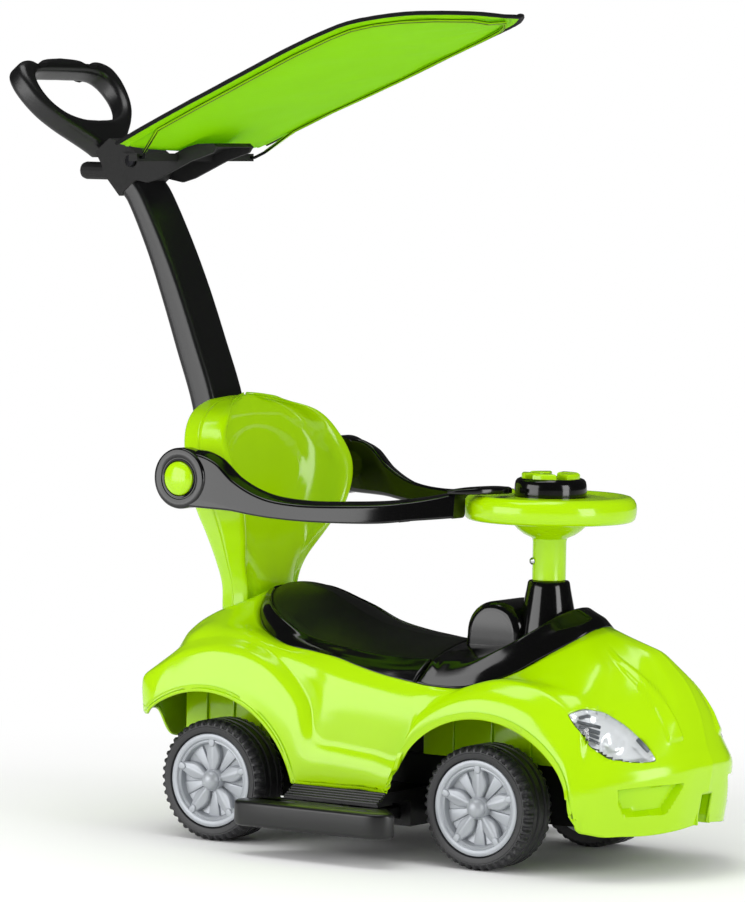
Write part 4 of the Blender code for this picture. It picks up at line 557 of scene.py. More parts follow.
def box_mesh(low: Point, high: Point, rounding: float = 0.0, segments: int = 3) -> bmesh.types.BMesh:
    """Makes a box between two corners with rounded edges, in metres."""
    low = Vector(low)
    high = Vector(high)
    bm = bmesh.new()
    bmesh.ops.create_cube(bm, size=1.0)
    size = Matrix.Diagonal(high - low).to_4x4()
    bmesh.ops.transform(bm, matrix=Matrix.Translation((low + high) / 2) @ size, verts=bm.verts)
    if rounding:
        bmesh.ops.bevel(bm, geom=bm.edges[:], offset=rounding, segments=segments, affect="EDGES", profile=0.5,
                        material=-1)
    return bm


def side_box(side: int, low: Point, high: Point, rounding: float, segments: int) -> bmesh.types.BMesh:
    """Makes a rounded box on one side of the car.

    Args:
        side: The sign of the side along Y.
        low: Its lower rear inner corner, told as on the left.
        high: Its upper front outer corner, told as on the left.
        rounding: The radius of its edges.
        segments: How many steps a rounded edge has.

    Returns:
        The closed box.
    """
    low_y, high_y = sorted((side * low[1], side * high[1]))
    return box_mesh((low[0], low_y, low[2]), (high[0], high_y, high[2]), rounding, segments)


def outline_mesh(outline: Sequence[tuple[float, float]], half: float, place: Matrix, rounding: float = 0.0,
                 holes: Sequence[Sequence[tuple[float, float]]] = (), segments: int = 3) -> bmesh.types.BMesh:
    """Extrudes a flat outline with holes, in metres.

    Args:
        outline: The outer outline.
        half: Half its thickness along the place's Z.
        place: The outline's place.
        rounding: The radius of its edges.
        holes: The outlines of its holes.
        segments: How many steps a rounded edge has.

    Returns:
        The closed plate.
    """
    curve = bpy.data.curves.new("outline", "CURVE")
    curve.dimensions = "2D"
    curve.fill_mode = "BOTH"
    curve.extrude = half - rounding
    curve.bevel_depth = rounding
    curve.bevel_resolution = segments
    curve.offset = -rounding
    for points in (outline, *holes):
        spline = curve.splines.new("POLY")
        spline.points.add(len(points) - 1)
        for at, (x, y) in zip(spline.points, points):
            at.co = (x, y, 0.0, 1.0)
        spline.use_cyclic_u = True
    guide = bpy.data.objects.new("outline", curve)
    bpy.context.scene.collection.objects.link(guide)
    bpy.context.view_layer.update()
    mesh = bpy.data.meshes.new_from_object(guide.evaluated_get(bpy.context.evaluated_depsgraph_get()))
    bpy.data.objects.remove(guide, do_unlink=True)
    bpy.data.curves.remove(curve)
    bm = bmesh.new()
    bm.from_mesh(mesh)
    bpy.data.meshes.remove(mesh)
    bmesh.ops.remove_doubles(bm, verts=bm.verts, dist=SAME_SPOT)
    bmesh.ops.transform(bm, matrix=place, verts=bm.verts)
    bmesh.ops.recalc_face_normals(bm, faces=bm.faces)
    return bm


def swept(sections: Sequence[Sequence[Vector]]) -> bmesh.types.BMesh:
    """Joins closed sections into a solid with both ends capped."""
    rows = [[*section, section[0]] for section in sections]
    bm = loft(rows, closed_rows=True)
    bmesh.ops.holes_fill(bm, edges=[edge for edge in bm.edges if edge.is_boundary], sides=0)
    bmesh.ops.recalc_face_normals(bm, faces=bm.faces)
    return bm


def facing(side: int) -> Matrix:
    """Turns a piece that is made about Z so that its top looks outwards on one side."""
    return Matrix.Rotation(math.radians(-90 * side), 4, "X")


def smoothstep(low: float, high: float, value: float) -> float:
    """Rises smoothly from 0 at the low value to 1 at the high one."""
    share = min(max((value - low) / (high - low), 0.0), 1.0)
    return share * share * (3 - 2 * share)


def nearest_on_rim(x: float, y: float, polygon: Sequence[tuple[float, float]]) -> tuple[float, float, float]:
    """Finds where a polygon's rim is nearest to a point.

    Args:
        x: The point's first coordinate.
        y: Its second coordinate.
        polygon: The closed polygon.

    Returns:
        The distance, and the two coordinates of the nearest point.
    """
    best = (math.inf, 0.0, 0.0)
    for at, (x1, y1) in enumerate(polygon):
        x2, y2 = polygon[(at + 1) % len(polygon)]
        length = (x2 - x1) ** 2 + (y2 - y1) ** 2
        share = min(max(((x - x1) * (x2 - x1) + (y - y1) * (y2 - y1)) / length, 0.0), 1.0)
        near_x, near_y = x1 + share * (x2 - x1), y1 + share * (y2 - y1)
        best = min(best, (math.hypot(x - near_x, y - near_y), near_x, near_y))
    return best


def inside_distance(x: float, y: float, polygon: Sequence[tuple[float, float]]) -> float:
    """Tells how far a point lies within a polygon, or as a negative number, outside it."""
    inside = False
    for at, (x1, y1) in enumerate(polygon):
        x2, y2 = polygon[(at + 1) % len(polygon)]
        if (y1 > y) != (y2 > y) and x < (x2 - x1) * (y - y1) / (y2 - y1) + x1:
            inside = not inside
    nearest = nearest_on_rim(x, y, polygon)[0]
    return nearest if inside else -nearest


# Feature lines of the left side, in millimetres. Along the car they start from the nearer axle or the middle.

REAR_COLUMNS = (
    ((-118, 0, 106), (-124, 0, 184), (-91, 0, 215), (-84, 0, 234),
     (-71, 0, 247), (-55, 0, 257), (-3, 0, 283)),
    ((-119, 58, 106), (-124, 58, 184), (-90, 55, 215), (-83, 53, 233),
     (-70, 51, 246), (-55, 48, 256), (1, 30, 283)),
    ((-116, 92, 139), (-120, 94, 182), (-87, 87, 213), (-79, 82, 231),
     (-66, 76, 245), (-48, 66, 257), (8, 50, 280)),
    ((-108, 129, 141), (-109, 130, 182), (-72, 109, 215), (-64, 103, 231),
     (-52, 96, 243), (-32, 82, 256), (11, 62, 272)),
    ((-89, 147, 144), (-85, 142, 191), (-52, 121, 224), (-44, 116, 236),
     (-34, 108, 245), (-16, 94, 253), (16, 74, 261)),
    ((-57, 149, 163), (-49, 142, 212), (-24, 124, 232), (-18, 120, 239),
     (-10, 114, 245), (4, 105, 248), (28, 86, 248)),
    ((2, 149, 171), (8, 142, 224), (19, 126, 235), (24, 124, 238),
     (30, 120, 241), (38, 112, 242), (46, 98, 240)),
    ((54, 149, 155), (69, 143, 211), (80, 131, 217), (81, 130, 219),
     (81, 128, 223), (81, 124, 228), (81, 115, 231)),
    ((91, 149, 123), (119, 146, 165), (130, 136, 171), (130, 136, 185),
     (129, 135, 202), (128, 130, 216), (127, 121, 226)),
    ((113, 148, 81), (137, 149, 119), (147, 143, 131), (151, 143, 152),
     (156, 142, 178), (159, 138, 204), (161, 126, 222)),
)

MIDDLE_COLUMNS = (
    ((-20, 147, 77), (-5, 149, 113), (0, 143, 125), (4, 143, 148),
     (7, 143, 172), (9, 140, 197), (10, 129, 215)),
    ((25, 147, 78), (38, 149, 109), (43, 143, 121), (44, 143, 144),
     (45, 143, 167), (45, 141, 190), (45, 131, 208)),
)

FRONT_COLUMNS = (
    ((-116, 148, 80), (-108, 149, 106), (-103, 143, 118), (-100, 143, 141),
     (-97, 143, 162), (-95, 141, 184), (-92, 132, 202)),
    ((-94, 150, 128), (-84, 149, 156), (-81, 144, 164), (-80, 142, 173),
     (-79, 140, 183), (-78, 137, 193), (-76, 131, 200)),
    ((-48, 151, 161), (-41, 147, 186), (-37, 136, 196), (-35, 131, 199),
     (-34, 129, 200), (-32, 126, 200), (-31, 122, 200)),
    ((4, 152, 170), (10, 146, 199), (15, 130, 212), (16, 122, 214),
     (16, 114, 213), (15, 104, 214), (12, 90, 217)),
    ((60, 151, 155), (67, 144, 188), (72, 127, 205), (71, 114, 208),
     (68, 100, 211), (62, 82, 222), (45, 60, 241)),
    ((105, 149, 121), (112, 143, 150), (120, 131, 170), (118, 112, 192),
     (112, 90, 207), (100, 62, 231), (66, 38, 257)),
    ((125, 148, 62), (133, 145, 113), (136, 137, 129), (136, 114, 164),
     (132, 90, 193), (117, 54, 228), (72, 25, 263)),
    ((149, 134, 51), (158, 130, 113), (156, 123, 130), (152, 98, 165),
     (146, 73, 196), (128, 40, 231), (74, 18, 265)),
    ((169, 110, 50), (181, 106, 116), (176, 100, 133), (170, 78, 166),
     (161, 56, 200), (137, 29, 236), (76, 12, 266)),
    ((186, 84, 50), (200, 78, 120), (193, 74, 136), (184, 56, 172),
     (172, 38, 205), (142, 19, 240), (77, 8, 267)),
    ((201, 52, 53), (213, 48, 123), (205, 45, 139), (195, 34, 177),
     (180, 23, 210), (146, 11, 243), (77, 4, 267)),
    ((207, 0, 58), (219, 0, 124), (211, 0, 141), (200, 0, 181), (184, 0, 213), (148, 0, 245), (77, 0, 267)),
)

HEADLIGHT_OUTLINE = (
    (107, 129, 182), (115, 118, 187), (125, 109, 188), (136, 101, 187), (148, 95, 180), (159, 91, 173),
    (171, 88, 164), (184, 85, 153), (192, 84, 144), (197, 85, 138), (189, 94, 135), (177, 105, 134),
    (165, 114, 135), (156, 121, 137), (146, 125, 144), (135, 128, 151), (126, 129, 161), (116, 130, 170),
)

COWL_COLUMNS = (
    ((-76, 131, 200.5), (-74, 123, 208), (-73, 113, 217), (-74, 103, 226), (-78, 62, 237), (-80, 0, 243)),
    ((-31, 122, 200.5), (-37, 112, 213), (-42, 99, 226), (-48, 88, 230), (-54, 52, 239), (-58, 0, 244)),
    ((-10, 106, 207.5), (-10, 92, 226), (-13, 78, 244), (-20, 70, 238), (-28, 46, 243), (-34, 0, 247)),
    ((12, 90, 217.6), (11, 78, 237), (6, 66, 257), (-1, 60, 246), (-6, 44, 248), (-10, 0, 252)),
    ((28, 75, 229.6), (26, 63, 250), (22, 50, 270), (15, 46, 256), (11, 36, 256), (8, 0, 257)),
    ((45, 60, 241.6), (42, 48, 262), (33, 35, 280), (26, 30, 266), (22, 24, 263), (19, 0, 261)),
    ((66, 38, 257.6), (60, 28, 272), (41, 20, 286), (32, 17, 272), (28, 14, 267), (25, 0, 265)),
    ((72, 25, 263.6), (66, 15, 276), (43, 10, 287.5), (34, 9, 274), (31, 8, 268), (28, 0, 266)),
    ((77, 0, 267.6), (68, 0, 278), (44, 0, 288), (35, 0, 275), (32, 0, 269), (30, 0, 267)),
)

SEAT_REAR = (
    ((-3, 0, 283), (3, 0, 286.5), (16, 0, 289)),
    ((1, 30, 283.5), (7, 32, 286), (23, 0, 290)),
    ((8, 50, 280), (16, 50, 284), (33, 0, 290)),
    ((11, 62, 272), (24, 65, 281), (43, 0, 288.5)),
    ((16, 74, 261), (33, 79, 275), (55, 0, 286)),
    ((28, 86, 248), (45, 91, 267), (68, 0, 282)),
    ((46, 98, 240), (63, 100, 258), (85, 0, 274)),
    ((81, 115, 231), (96, 105, 242.5), (109, 0, 263)),
    ((127, 121, 226), (135, 107, 234), (139, 0, 252)),
    ((161, 126, 222), (166, 108, 230), (169, 0, 246)),
)

SEAT_FRONT = (
    ((10, 129, 215), (12, 108, 227), (14, 0, 243)),
    ((45, 131, 208), (45, 107, 225), (40, 0, 241)),
)

SEAM = ((-93, 131.5, 202), (-91, 118, 215), (-91, 106, 225.5), (-93, 78, 233), (-96, 44, 238.5),
        (-101, 0, 242))

BACKREST = (
    (258, 57, -53, -15, -7),
    (286, 57, -54, -16, -8),
    (311, 68, -55, -13, -11),
    (347, 92, -55, 2, -21),
    (381, 115, -55, 14, -31),
    (425, 132, -56, 10, -36),
    (462, 124, -65, -7, -40),
    (486, 98, -74, -19, -48),
    (500, 52, -81, -41, -55),
)

POLE = (
    (352, -76, 34),
    (400, -84, 34),
    (450, -92, 34),
    (497, -101, 34),
    (564, -126, 33),
    (625, -150, 31),
    (679, -174, 28),
    (735, -204, 26),
    (745, -212, 26),
)

GUARD_STATIONS = (
    (-14, 176.5, 386, 453),
    (0, 175.5, 385.5, 451.5),
    (18, 174, 385, 444),
    (40, 171, 384, 425),
    (62, 168, 381, 413),
    (85, 164, 378.5, 405.5),
    (123, 157, 376.5, 401.5),
    (174, 148, 376.5, 402.5),
)

GUARD_FRONT_STATIONS = (
    (-140, 136, 378.5, 405.5),
    (-108, 124, 382.5, 410),
    (-84, 113, 385, 415),
    (-66, 102, 387, 420),
)

GUARD_TONGUE = (
    (-74, 103, 414.2, 419),
    (-58, 98, 414.2, 422),
    (-44, 84, 414.2, 423.5),
    (-36, 66, 414.2, 423.5),
    (-33, 47, 414.2, 422),
)

CANOPY_EDGE = (
    (-141, 150, 799.5),
    (-94, 155, 821),
    (-44, 158, 843.5),
    (6, 163, 864.5),
    (56, 167, 886),
    (106, 169, 908),
    (156, 168, 928.5),
    (184, 163, 939),
    (210, 147, 946),
    (233, 120, 951),
    (256, 84, 953),
    (281, 43, 953),
    (296, 14, 951),
)

HANDLE_PROFILE = (
    (0.022, 0.0635),
    (0.030, 0.072),
    (0.046, 0.086),
    (0.066, 0.103),
    (0.084, 0.124),
    (0.094, 0.148),
    (0.096, 0.170),
    (0.090, 0.186),
    (0.076, 0.194),
    (0.062, 0.195),
    (0.050, 0.190),
    (0.034, 0.197),
    (0.0, 0.200),
)

HANDLE_OPENING = (
    (0.0, 0.106),
    (0.030, 0.108),
    (0.055, 0.117),
    (0.070, 0.132),
    (0.075, 0.150),
    (0.071, 0.168),
    (0.060, 0.177),
    (0.0, 0.180),
)


# Shared surfaces of the body: feature lines run along the car and are rounded across it


def feature_net(columns: Sequence[Sequence[Vector]], spacing: float) -> list[list[Vector]]:
    """Runs smooth lines along the car through the columns' points.

    Args:
        columns: Stations along the car, each with as many feature points.
        spacing: How far apart the new stations lie, in metres.

    Returns:
        The new stations with their feature points.
    """
    counts = []
    for here, ahead in zip(columns, columns[1:]):
        longest = max((a - b).length for a, b in zip(here, ahead))
        counts.append(max(1, math.ceil(longest / spacing)))
    lines = [curve_through([column[at] for column in columns], counts) for at in range(len(columns[0]))]
    return [list(station) for station in zip(*lines)]


@dataclass
class Sight:
    """An outline as seen along one direction: its centre, the two ways across, and its flat shape."""

    centre: Vector
    across: Vector
    upward: Vector
    flat: list[tuple[float, float]]

    @classmethod
    def of(cls, outline: Sequence[Vector], looking: Vector) -> "Sight":
        """Returns the sight of an outline along a direction."""
        centre = middle_of(outline)
        across = looking.orthogonal().normalized()
        upward = looking.cross(across).normalized()
        flat = [((point - centre).dot(across), (point - centre).dot(upward)) for point in outline]
        return cls(centre, across, upward, flat)

    def spot(self, point: Vector) -> tuple[float, float]:
        """Returns where a point is seen, told from the outline's centre."""
        place = point - self.centre
        return place.dot(self.across), place.dot(self.upward)


def window(bm: bmesh.types.BMesh, outline: Sequence[Vector], looking: Vector, keep: bool,
           depth_reach: float = 0.06, facing_limit: float = 0.05, slide_reach: float = 0.006) -> None:
    """Cuts a surface along an outline that is seen from one direction.

    Faces on one side of the outline are removed, and the new edge slides along the surface to the outline.

    Args:
        bm: The fine surface.
        outline: The closed outline.
        looking: The direction that the window looks in.
        keep: Whether the inside stays, rather than the rest.
        depth_reach: Faces further than this before or behind the outline's centre count as outside.
        facing_limit: Faces whose normal agrees less than this with the direction count as outside.
        slide_reach: The new edge's points slide no further than this.
    """
    sight = Sight.of(outline, looking)
    bm.normal_update()
    gone = []
    for face in bm.faces:
        middle = face.calc_center_median()
        depth = (middle - sight.centre).dot(looking)
        if abs(depth) > depth_reach or face.normal.dot(looking) < facing_limit:
            if keep:
                gone.append(face)
            continue
        within = inside_distance(*sight.spot(middle), sight.flat) > 0
        if within != keep:
            gone.append(face)
    before = {edge for edge in bm.edges if edge.is_boundary}
    bmesh.ops.delete(bm, geom=gone, context="FACES")
    rim = {vert for edge in bm.edges if edge.is_boundary and edge not in before for vert in edge.verts}
    bm.normal_update()
    moves = []
    for vert in rim:
        x, y = sight.spot(vert.co)
        away, near_x, near_y = nearest_on_rim(x, y, sight.flat)
        if away < slide_reach:
            step = sight.across * (near_x - x) + sight.upward * (near_y - y)
            depth = -step.dot(vert.normal) / max(vert.normal.dot(looking), 0.3)
            moves.append((vert, vert.co + step + looking * depth))
    for vert, place in moves:
        vert.co = place


def smooth_outline(points: Sequence[Vector], steps: int = 5) -> list[Vector]:
    """Returns a closed outline run smoothly through its points."""
    around = [*points, points[0]]
    return curve_through(around, [steps] * len(points))[:-1]


@dataclass
class BodyShell:
    """The blow-moulded lime shell with its wheel arches, fender steps, nose recesses and hood ribs."""

    spacing: float = 0.003
    wall: float = 0.003
    arch_radius: float = 0.127
    rear_arch: tuple[float, float] = (REAR_X - 0.009, 0.045)
    front_arch: tuple[float, float] = (FRONT_X + 0.005, 0.043)
    notch_half_width: float = 0.0115
    notch_top: float = 0.0905
    recess_depth: float = 0.010
    recess: Sequence[tuple[float, float]] = (
        (0.121, 0.103), (0.090, 0.1065), (0.047, 0.107), (0.059, 0.088),
        (0.068, 0.0725), (0.092, 0.0725), (0.113, 0.0745), (0.1195, 0.088),
    )
    rib_line: Sequence[Point] = (
        (280, 33, 247), (304, 42, 233), (327, 45, 218), (348, 46, 201),
        (365, 47.5, 180), (376, 48, 162), (381, 49, 152),
    )
    rib_height: float = 0.0030
    lip: float = 0.0045
    lip_depth: float = 0.0012
    inside: Point = (MIDDLE_X, 0.0, 0.12)
    belt_column: int = 20

    def columns(self) -> list[list[Vector]]:
        """Returns the feature columns, with a rounded face between the edge and the crown."""
        out = []
        for table, datum in ((REAR_COLUMNS, REAR_X), (MIDDLE_COLUMNS, MIDDLE_X), (FRONT_COLUMNS, FRONT_X)):
            for points in table:
                edge, *rest = metres(points, datum)
                crown = rest[0]
                outwards = 1.0 if crown.y > 0 else 0.0
                face = edge.lerp(crown, 0.6) + Vector((0.0, 0.0025 * outwards, 0.0))
                out.append([edge, face, *rest])
        return out

    def rows(self) -> list[list[Vector]]:
        """Returns the whole fine net of the left half."""
        net = []
        for station in feature_net(self.columns(), self.spacing):
            edge = station[0]
            lipped = 0.0
            for middle_x, middle_z in (self.rear_arch, self.front_arch):
                reach = Vector((edge.x - middle_x, 0.0, edge.z - middle_z))
                held = 1 - smoothstep(0.004, 0.012, abs(reach.length - self.arch_radius))
                held *= smoothstep(0.128, 0.145, edge.y)
                circle = reach.normalized() * self.arch_radius
                edge = edge.lerp(Vector((middle_x + circle.x, edge.y, middle_z + circle.z)), held)
                lipped = max(lipped, held * smoothstep(0.080, 0.100, edge.z))
            station[0] = edge
            row = rounded(station, (26, 7, 3.5, 4.5, 18, 8), (10, 6, 3, 8, 7, 6, 4))
            along = (row[3] - row[0]).normalized()
            lip = [row[0] + along * self.lip * share for share in (0.75, 1.0, 1.25)]
            lip[1] = lip[1] - Vector((0.0, self.lip_depth * lipped, 0.0))
            net.append([row[0], *lip, *row[3:]])
        return net

    def refine(self, bm: bmesh.types.BMesh) -> None:
        """Makes the net finer where the bumper recess, the nose slot and the hood rib need it."""
        for cuts, chosen in ((2, lambda co: co.x > FRONT_X + 0.14 and co.z < 0.114 and co.y < 0.128),
                             (1, lambda co: co.x > FRONT_X + 0.09 and co.z > 0.140 and 0.030 < co.y < 0.064)):
            edges = [edge for edge in bm.edges if all(chosen(vert.co) for vert in edge.verts)]
            bmesh.ops.subdivide_edges(bm, edges=edges, cuts=cuts, use_grid_fill=True)

    def carve(self, bm: bmesh.types.BMesh) -> None:
        """Presses the bumper recess in and raises the rib along the hood."""
        self.refine(bm)
        bm.normal_update()
        rib = curve_through(metres(self.rib_line, MIDDLE_X), [6] * (len(self.rib_line) - 1))
        moves = []
        for vert in bm.verts:
            co = vert.co
            if co.x > FRONT_X + 0.10 and co.z < 0.115:
                deep = smoothstep(0.0, 0.0035, inside_distance(co.y, co.z, self.recess))
                if deep > 0:
                    moves.append((vert, co - vert.normal * self.recess_depth * deep))
            elif co.x > FRONT_X + 0.07 and co.y < 0.08:
                near, at = min(((co - point).length, order) for order, point in enumerate(rib))
                along = at / (len(rib) - 1)
                half = 0.0035 + 0.0070 * along
                raised = 1 - smoothstep(half - 0.0016, half + 0.0018, near)
                ends = smoothstep(0.0, 0.25, along) * (1 - smoothstep(0.92, 1.0, along))
                moves.append((vert, co + vert.normal * self.rib_height * raised * ends))
        for vert, place in moves:
            vert.co = place

    def build(self) -> Piece:
        """Builds the shell.

        Returns:
            The shell as one closed piece.
        """
        bm = loft(self.rows())
        look_out(bm, self.inside)
        self.carve(bm)
        headlight = smooth_outline(metres(HEADLIGHT_OUTLINE, FRONT_X))
        window(bm, headlight, Vector(Headlight.looking).normalized(), keep=False)
        nose = [Vector((FRONT_X + 0.21, y, z)) for y, z in (
            (-0.05, 0.03), (self.notch_half_width, 0.03), (self.notch_half_width, 0.06),
            (self.notch_half_width, self.notch_top), (-0.05, self.notch_top))]
        window(bm, nose, Vector((1.0, 0.0, 0.0)), keep=False)
        add_right_half(bm, self.inside)
        return place_piece("lime_body", bm, LIME, "chassis", ("body_shell",), 32, self.wall)

    def build_wheel_houses(self) -> None:
        """Builds the green inner walls of the wheel houses, which the arches show."""
        for side, word in SIDES:
            for end, middle_x, half in (("rear", REAR_X - 0.006, 0.088), ("front", FRONT_X - 0.006, 0.118)):
                bm = side_box(side, (middle_x - half, 0.060, 0.113), (middle_x + half, 0.0635, 0.176),
                              0.0012, 2)
                for rib in range(4):
                    x = middle_x - half + (rib + 0.8) * half * 2 / 4.6
                    add_mesh(bm, side_box(side, (x - 0.0015, 0.0632, 0.115), (x + 0.0015, 0.0665, 0.174),
                                          0.0008, 2))
                place_piece(f"wheel_house_{end}_{word}", bm, LIME, "chassis", ())

    def build_nose_slot(self) -> None:
        """Builds the lining of the slot in the nose, which closes the shell behind it."""
        back, front = FRONT_X + 0.178, FRONT_X + 0.2085
        inner, outer = self.notch_half_width + 0.0005, self.notch_half_width + 0.0035
        top = self.notch_top
        bm = box_mesh((back - 0.002, -outer, 0.054), (back + 0.002, outer, top + 0.003), 0.001, 2)
        for side in Side:
            add_mesh(bm, side_box(side.value, (back, inner, 0.056), (front, outer, top + 0.003), 0.001, 2))
        add_mesh(bm, box_mesh((back, -inner, top + 0.0005), (front, inner, top + 0.003), 0.001, 2))
        place_piece("nose_slot_lining", bm, LIME, "chassis", ())


@dataclass
class Headlight:
    """A clear lens over a bright reflector with dark fins and a round bowl."""

    looking: Point = (0.566, 0.662, 0.491)
    bowl_at: Point = (157, 108, 157)
    bowl_radius: float = 0.0155
    reach: float = 0.09
    thickness: float = 0.0014
    fins: Sequence[tuple[Point, Point, float]] = (
        ((118, 121, 181), (128, 113, 184), 0.0014), ((117, 124, 177), (141, 112, 172), 0.0017),
        ((121, 126, 172), (142, 115, 166), 0.0022), ((127, 126, 166), (143, 118, 161), 0.0016),
        ((133, 126, 160), (145, 120, 155), 0.0013), ((176, 92, 160), (188, 87, 147), 0.0022),
    )

    def build(self, shell: BodyShell) -> None:
        """Builds the pair of headlights.

        Args:
            shell: The body, whose surface the lens carries on.
        """
        outline = smooth_outline(metres(HEADLIGHT_OUTLINE, FRONT_X))
        centre = middle_of(outline)
        looking = Vector(self.looking).normalized()
        near = [row for row in shell.rows() if abs(row[shell.belt_column].x - centre.x) < self.reach]
        for side, word in SIDES:
            for kind, share in (("lens", 0.992), ("reflector", 1.06)):
                bm = loft(near)
                look_out(bm, shell.inside)
                edge = [centre + (point - centre) * share for point in outline]
                window(bm, edge, looking, keep=True)
                if kind == "reflector":
                    self.sink(bm, edge, looking)
                else:
                    bmesh.ops.translate(bm, vec=looking * -0.0006, verts=bm.verts)
                put_on_side(bm, side)
                look_out(bm, shell.inside)
                slot = "clear_plastic" if kind == "lens" else "chromed_plastic"
                place_piece(f"headlight_{kind}_{word}_fine", bm, SLOT_FINISHES[slot], "chassis",
                            (f"headlight_{kind}_{word}",), 50, self.thickness)
            self.build_fins(word, side, looking)

    def sink(self, bm: bmesh.types.BMesh, edge: Sequence[Vector], looking: Vector) -> None:
        """Sinks the reflector behind the lens, deepest at its bowl."""
        sight = Sight.of(edge, looking)
        bowl_x, bowl_y = sight.spot(metres([self.bowl_at], FRONT_X)[0])
        for vert in bm.verts:
            x, y = sight.spot(vert.co)
            inset = inside_distance(x, y, sight.flat)
            depth = 0.0032 + 0.0065 * smoothstep(0.0, 0.009, inset)
            away = math.hypot(x - bowl_x, y - bowl_y)
            depth += 0.006 * (1 - smoothstep(0.2, 1.0, away / self.bowl_radius))
            facets = noise.cell(Vector((x * 300, y * 300, 1.0)))
            depth += 0.0003 * facets * (1 - smoothstep(0.9, 1.6, away / self.bowl_radius))
            vert.co -= looking * depth

    def build_fins(self, word: str, side: int, looking: Vector) -> None:
        """Builds the dark fins beside the bowl of one headlight."""
        bm = bmesh.new()
        for rear, ahead, half in self.fins:
            low, high = metres([rear, ahead], FRONT_X)
            low, high = low - looking * 0.0075, high - looking * 0.0090
            along = (high - low).normalized()
            wide = looking.cross(along).normalized()
            turn = Matrix((wide, along, looking)).transposed().to_4x4()
            fin = box_mesh((-half, -(high - low).length / 2, -0.0015),
                           (half, (high - low).length / 2, 0.0015), 0.0006, 2)
            bmesh.ops.transform(fin, matrix=Matrix.Translation((low + high) / 2) @ turn, verts=fin.verts)
            add_mesh(bm, fin)
        put_on_side(bm, side)
        bmesh.ops.recalc_face_normals(bm, faces=bm.faces)
        place_piece(f"headlight_fins_{word}", bm, FIN_GREY, "chassis")


@dataclass
class Seat:
    """The lifting seat: an etched pad inside a raised bead, on a polished flank."""

    wall: float = 0.003
    inside: Point = (MIDDLE_X - 0.1, 0.0, 0.10)

    def columns(self) -> list[list[Vector]]:
        """Returns the belt, bead and spine of each station."""
        out = [metres(points, REAR_X) for points in SEAT_REAR]
        out += [metres(points, MIDDLE_X) for points in SEAT_FRONT]
        seam = metres(SEAM, FRONT_X)
        out.append([seam[0], seam[2], seam[-1]])
        return out

    def build(self) -> None:
        """Builds the pad and the flank."""
        pad_rows = []
        flank_rows = []
        for belt, bead, spine in feature_net(self.columns(), 0.004):
            outwards = Vector((0.0, min(belt.y / 0.04, 1.0), 0.0))
            lower = belt + (bead - belt).normalized() * 0.0006
            flank = belt.lerp(bead, 0.55) + outwards * 0.003
            rise = Vector((0.0, 0.0, 1.0))
            inner = bead.lerp(spine, 0.07)
            bead_top = bead.lerp(spine, 0.03) + rise * 0.0014
            groove = inner - rise * 0.0022
            edge = bead.lerp(spine, 0.15) - rise * 0.0004
            pad = bead.lerp(spine, 0.55) + rise * 0.003
            flank_rows.append(rounded([lower, flank, bead, bead_top, inner - rise * 0.0014], (20, 2.5, 1.5),
                                      (5, 5, 1, 1), 4))
            pad_rows.append(rounded([inner - rise * 0.0012, groove, edge, pad, spine], (1.2, 6, 22),
                                    (1, 2, 8, 8), 4))
        for name, rows, finish, slot in (("seat_flank", flank_rows, GLOSS_BLACK, "gloss_black_plastic"),
                                         ("seat_pad", pad_rows, SEAT_BLACK, "satin_black_plastic")):
            bm = loft(rows)
            look_out(bm, self.inside)
            add_right_half(bm, self.inside)
            place_piece(name, bm, finish, "seat", ("seat_lid",), 50, self.wall)


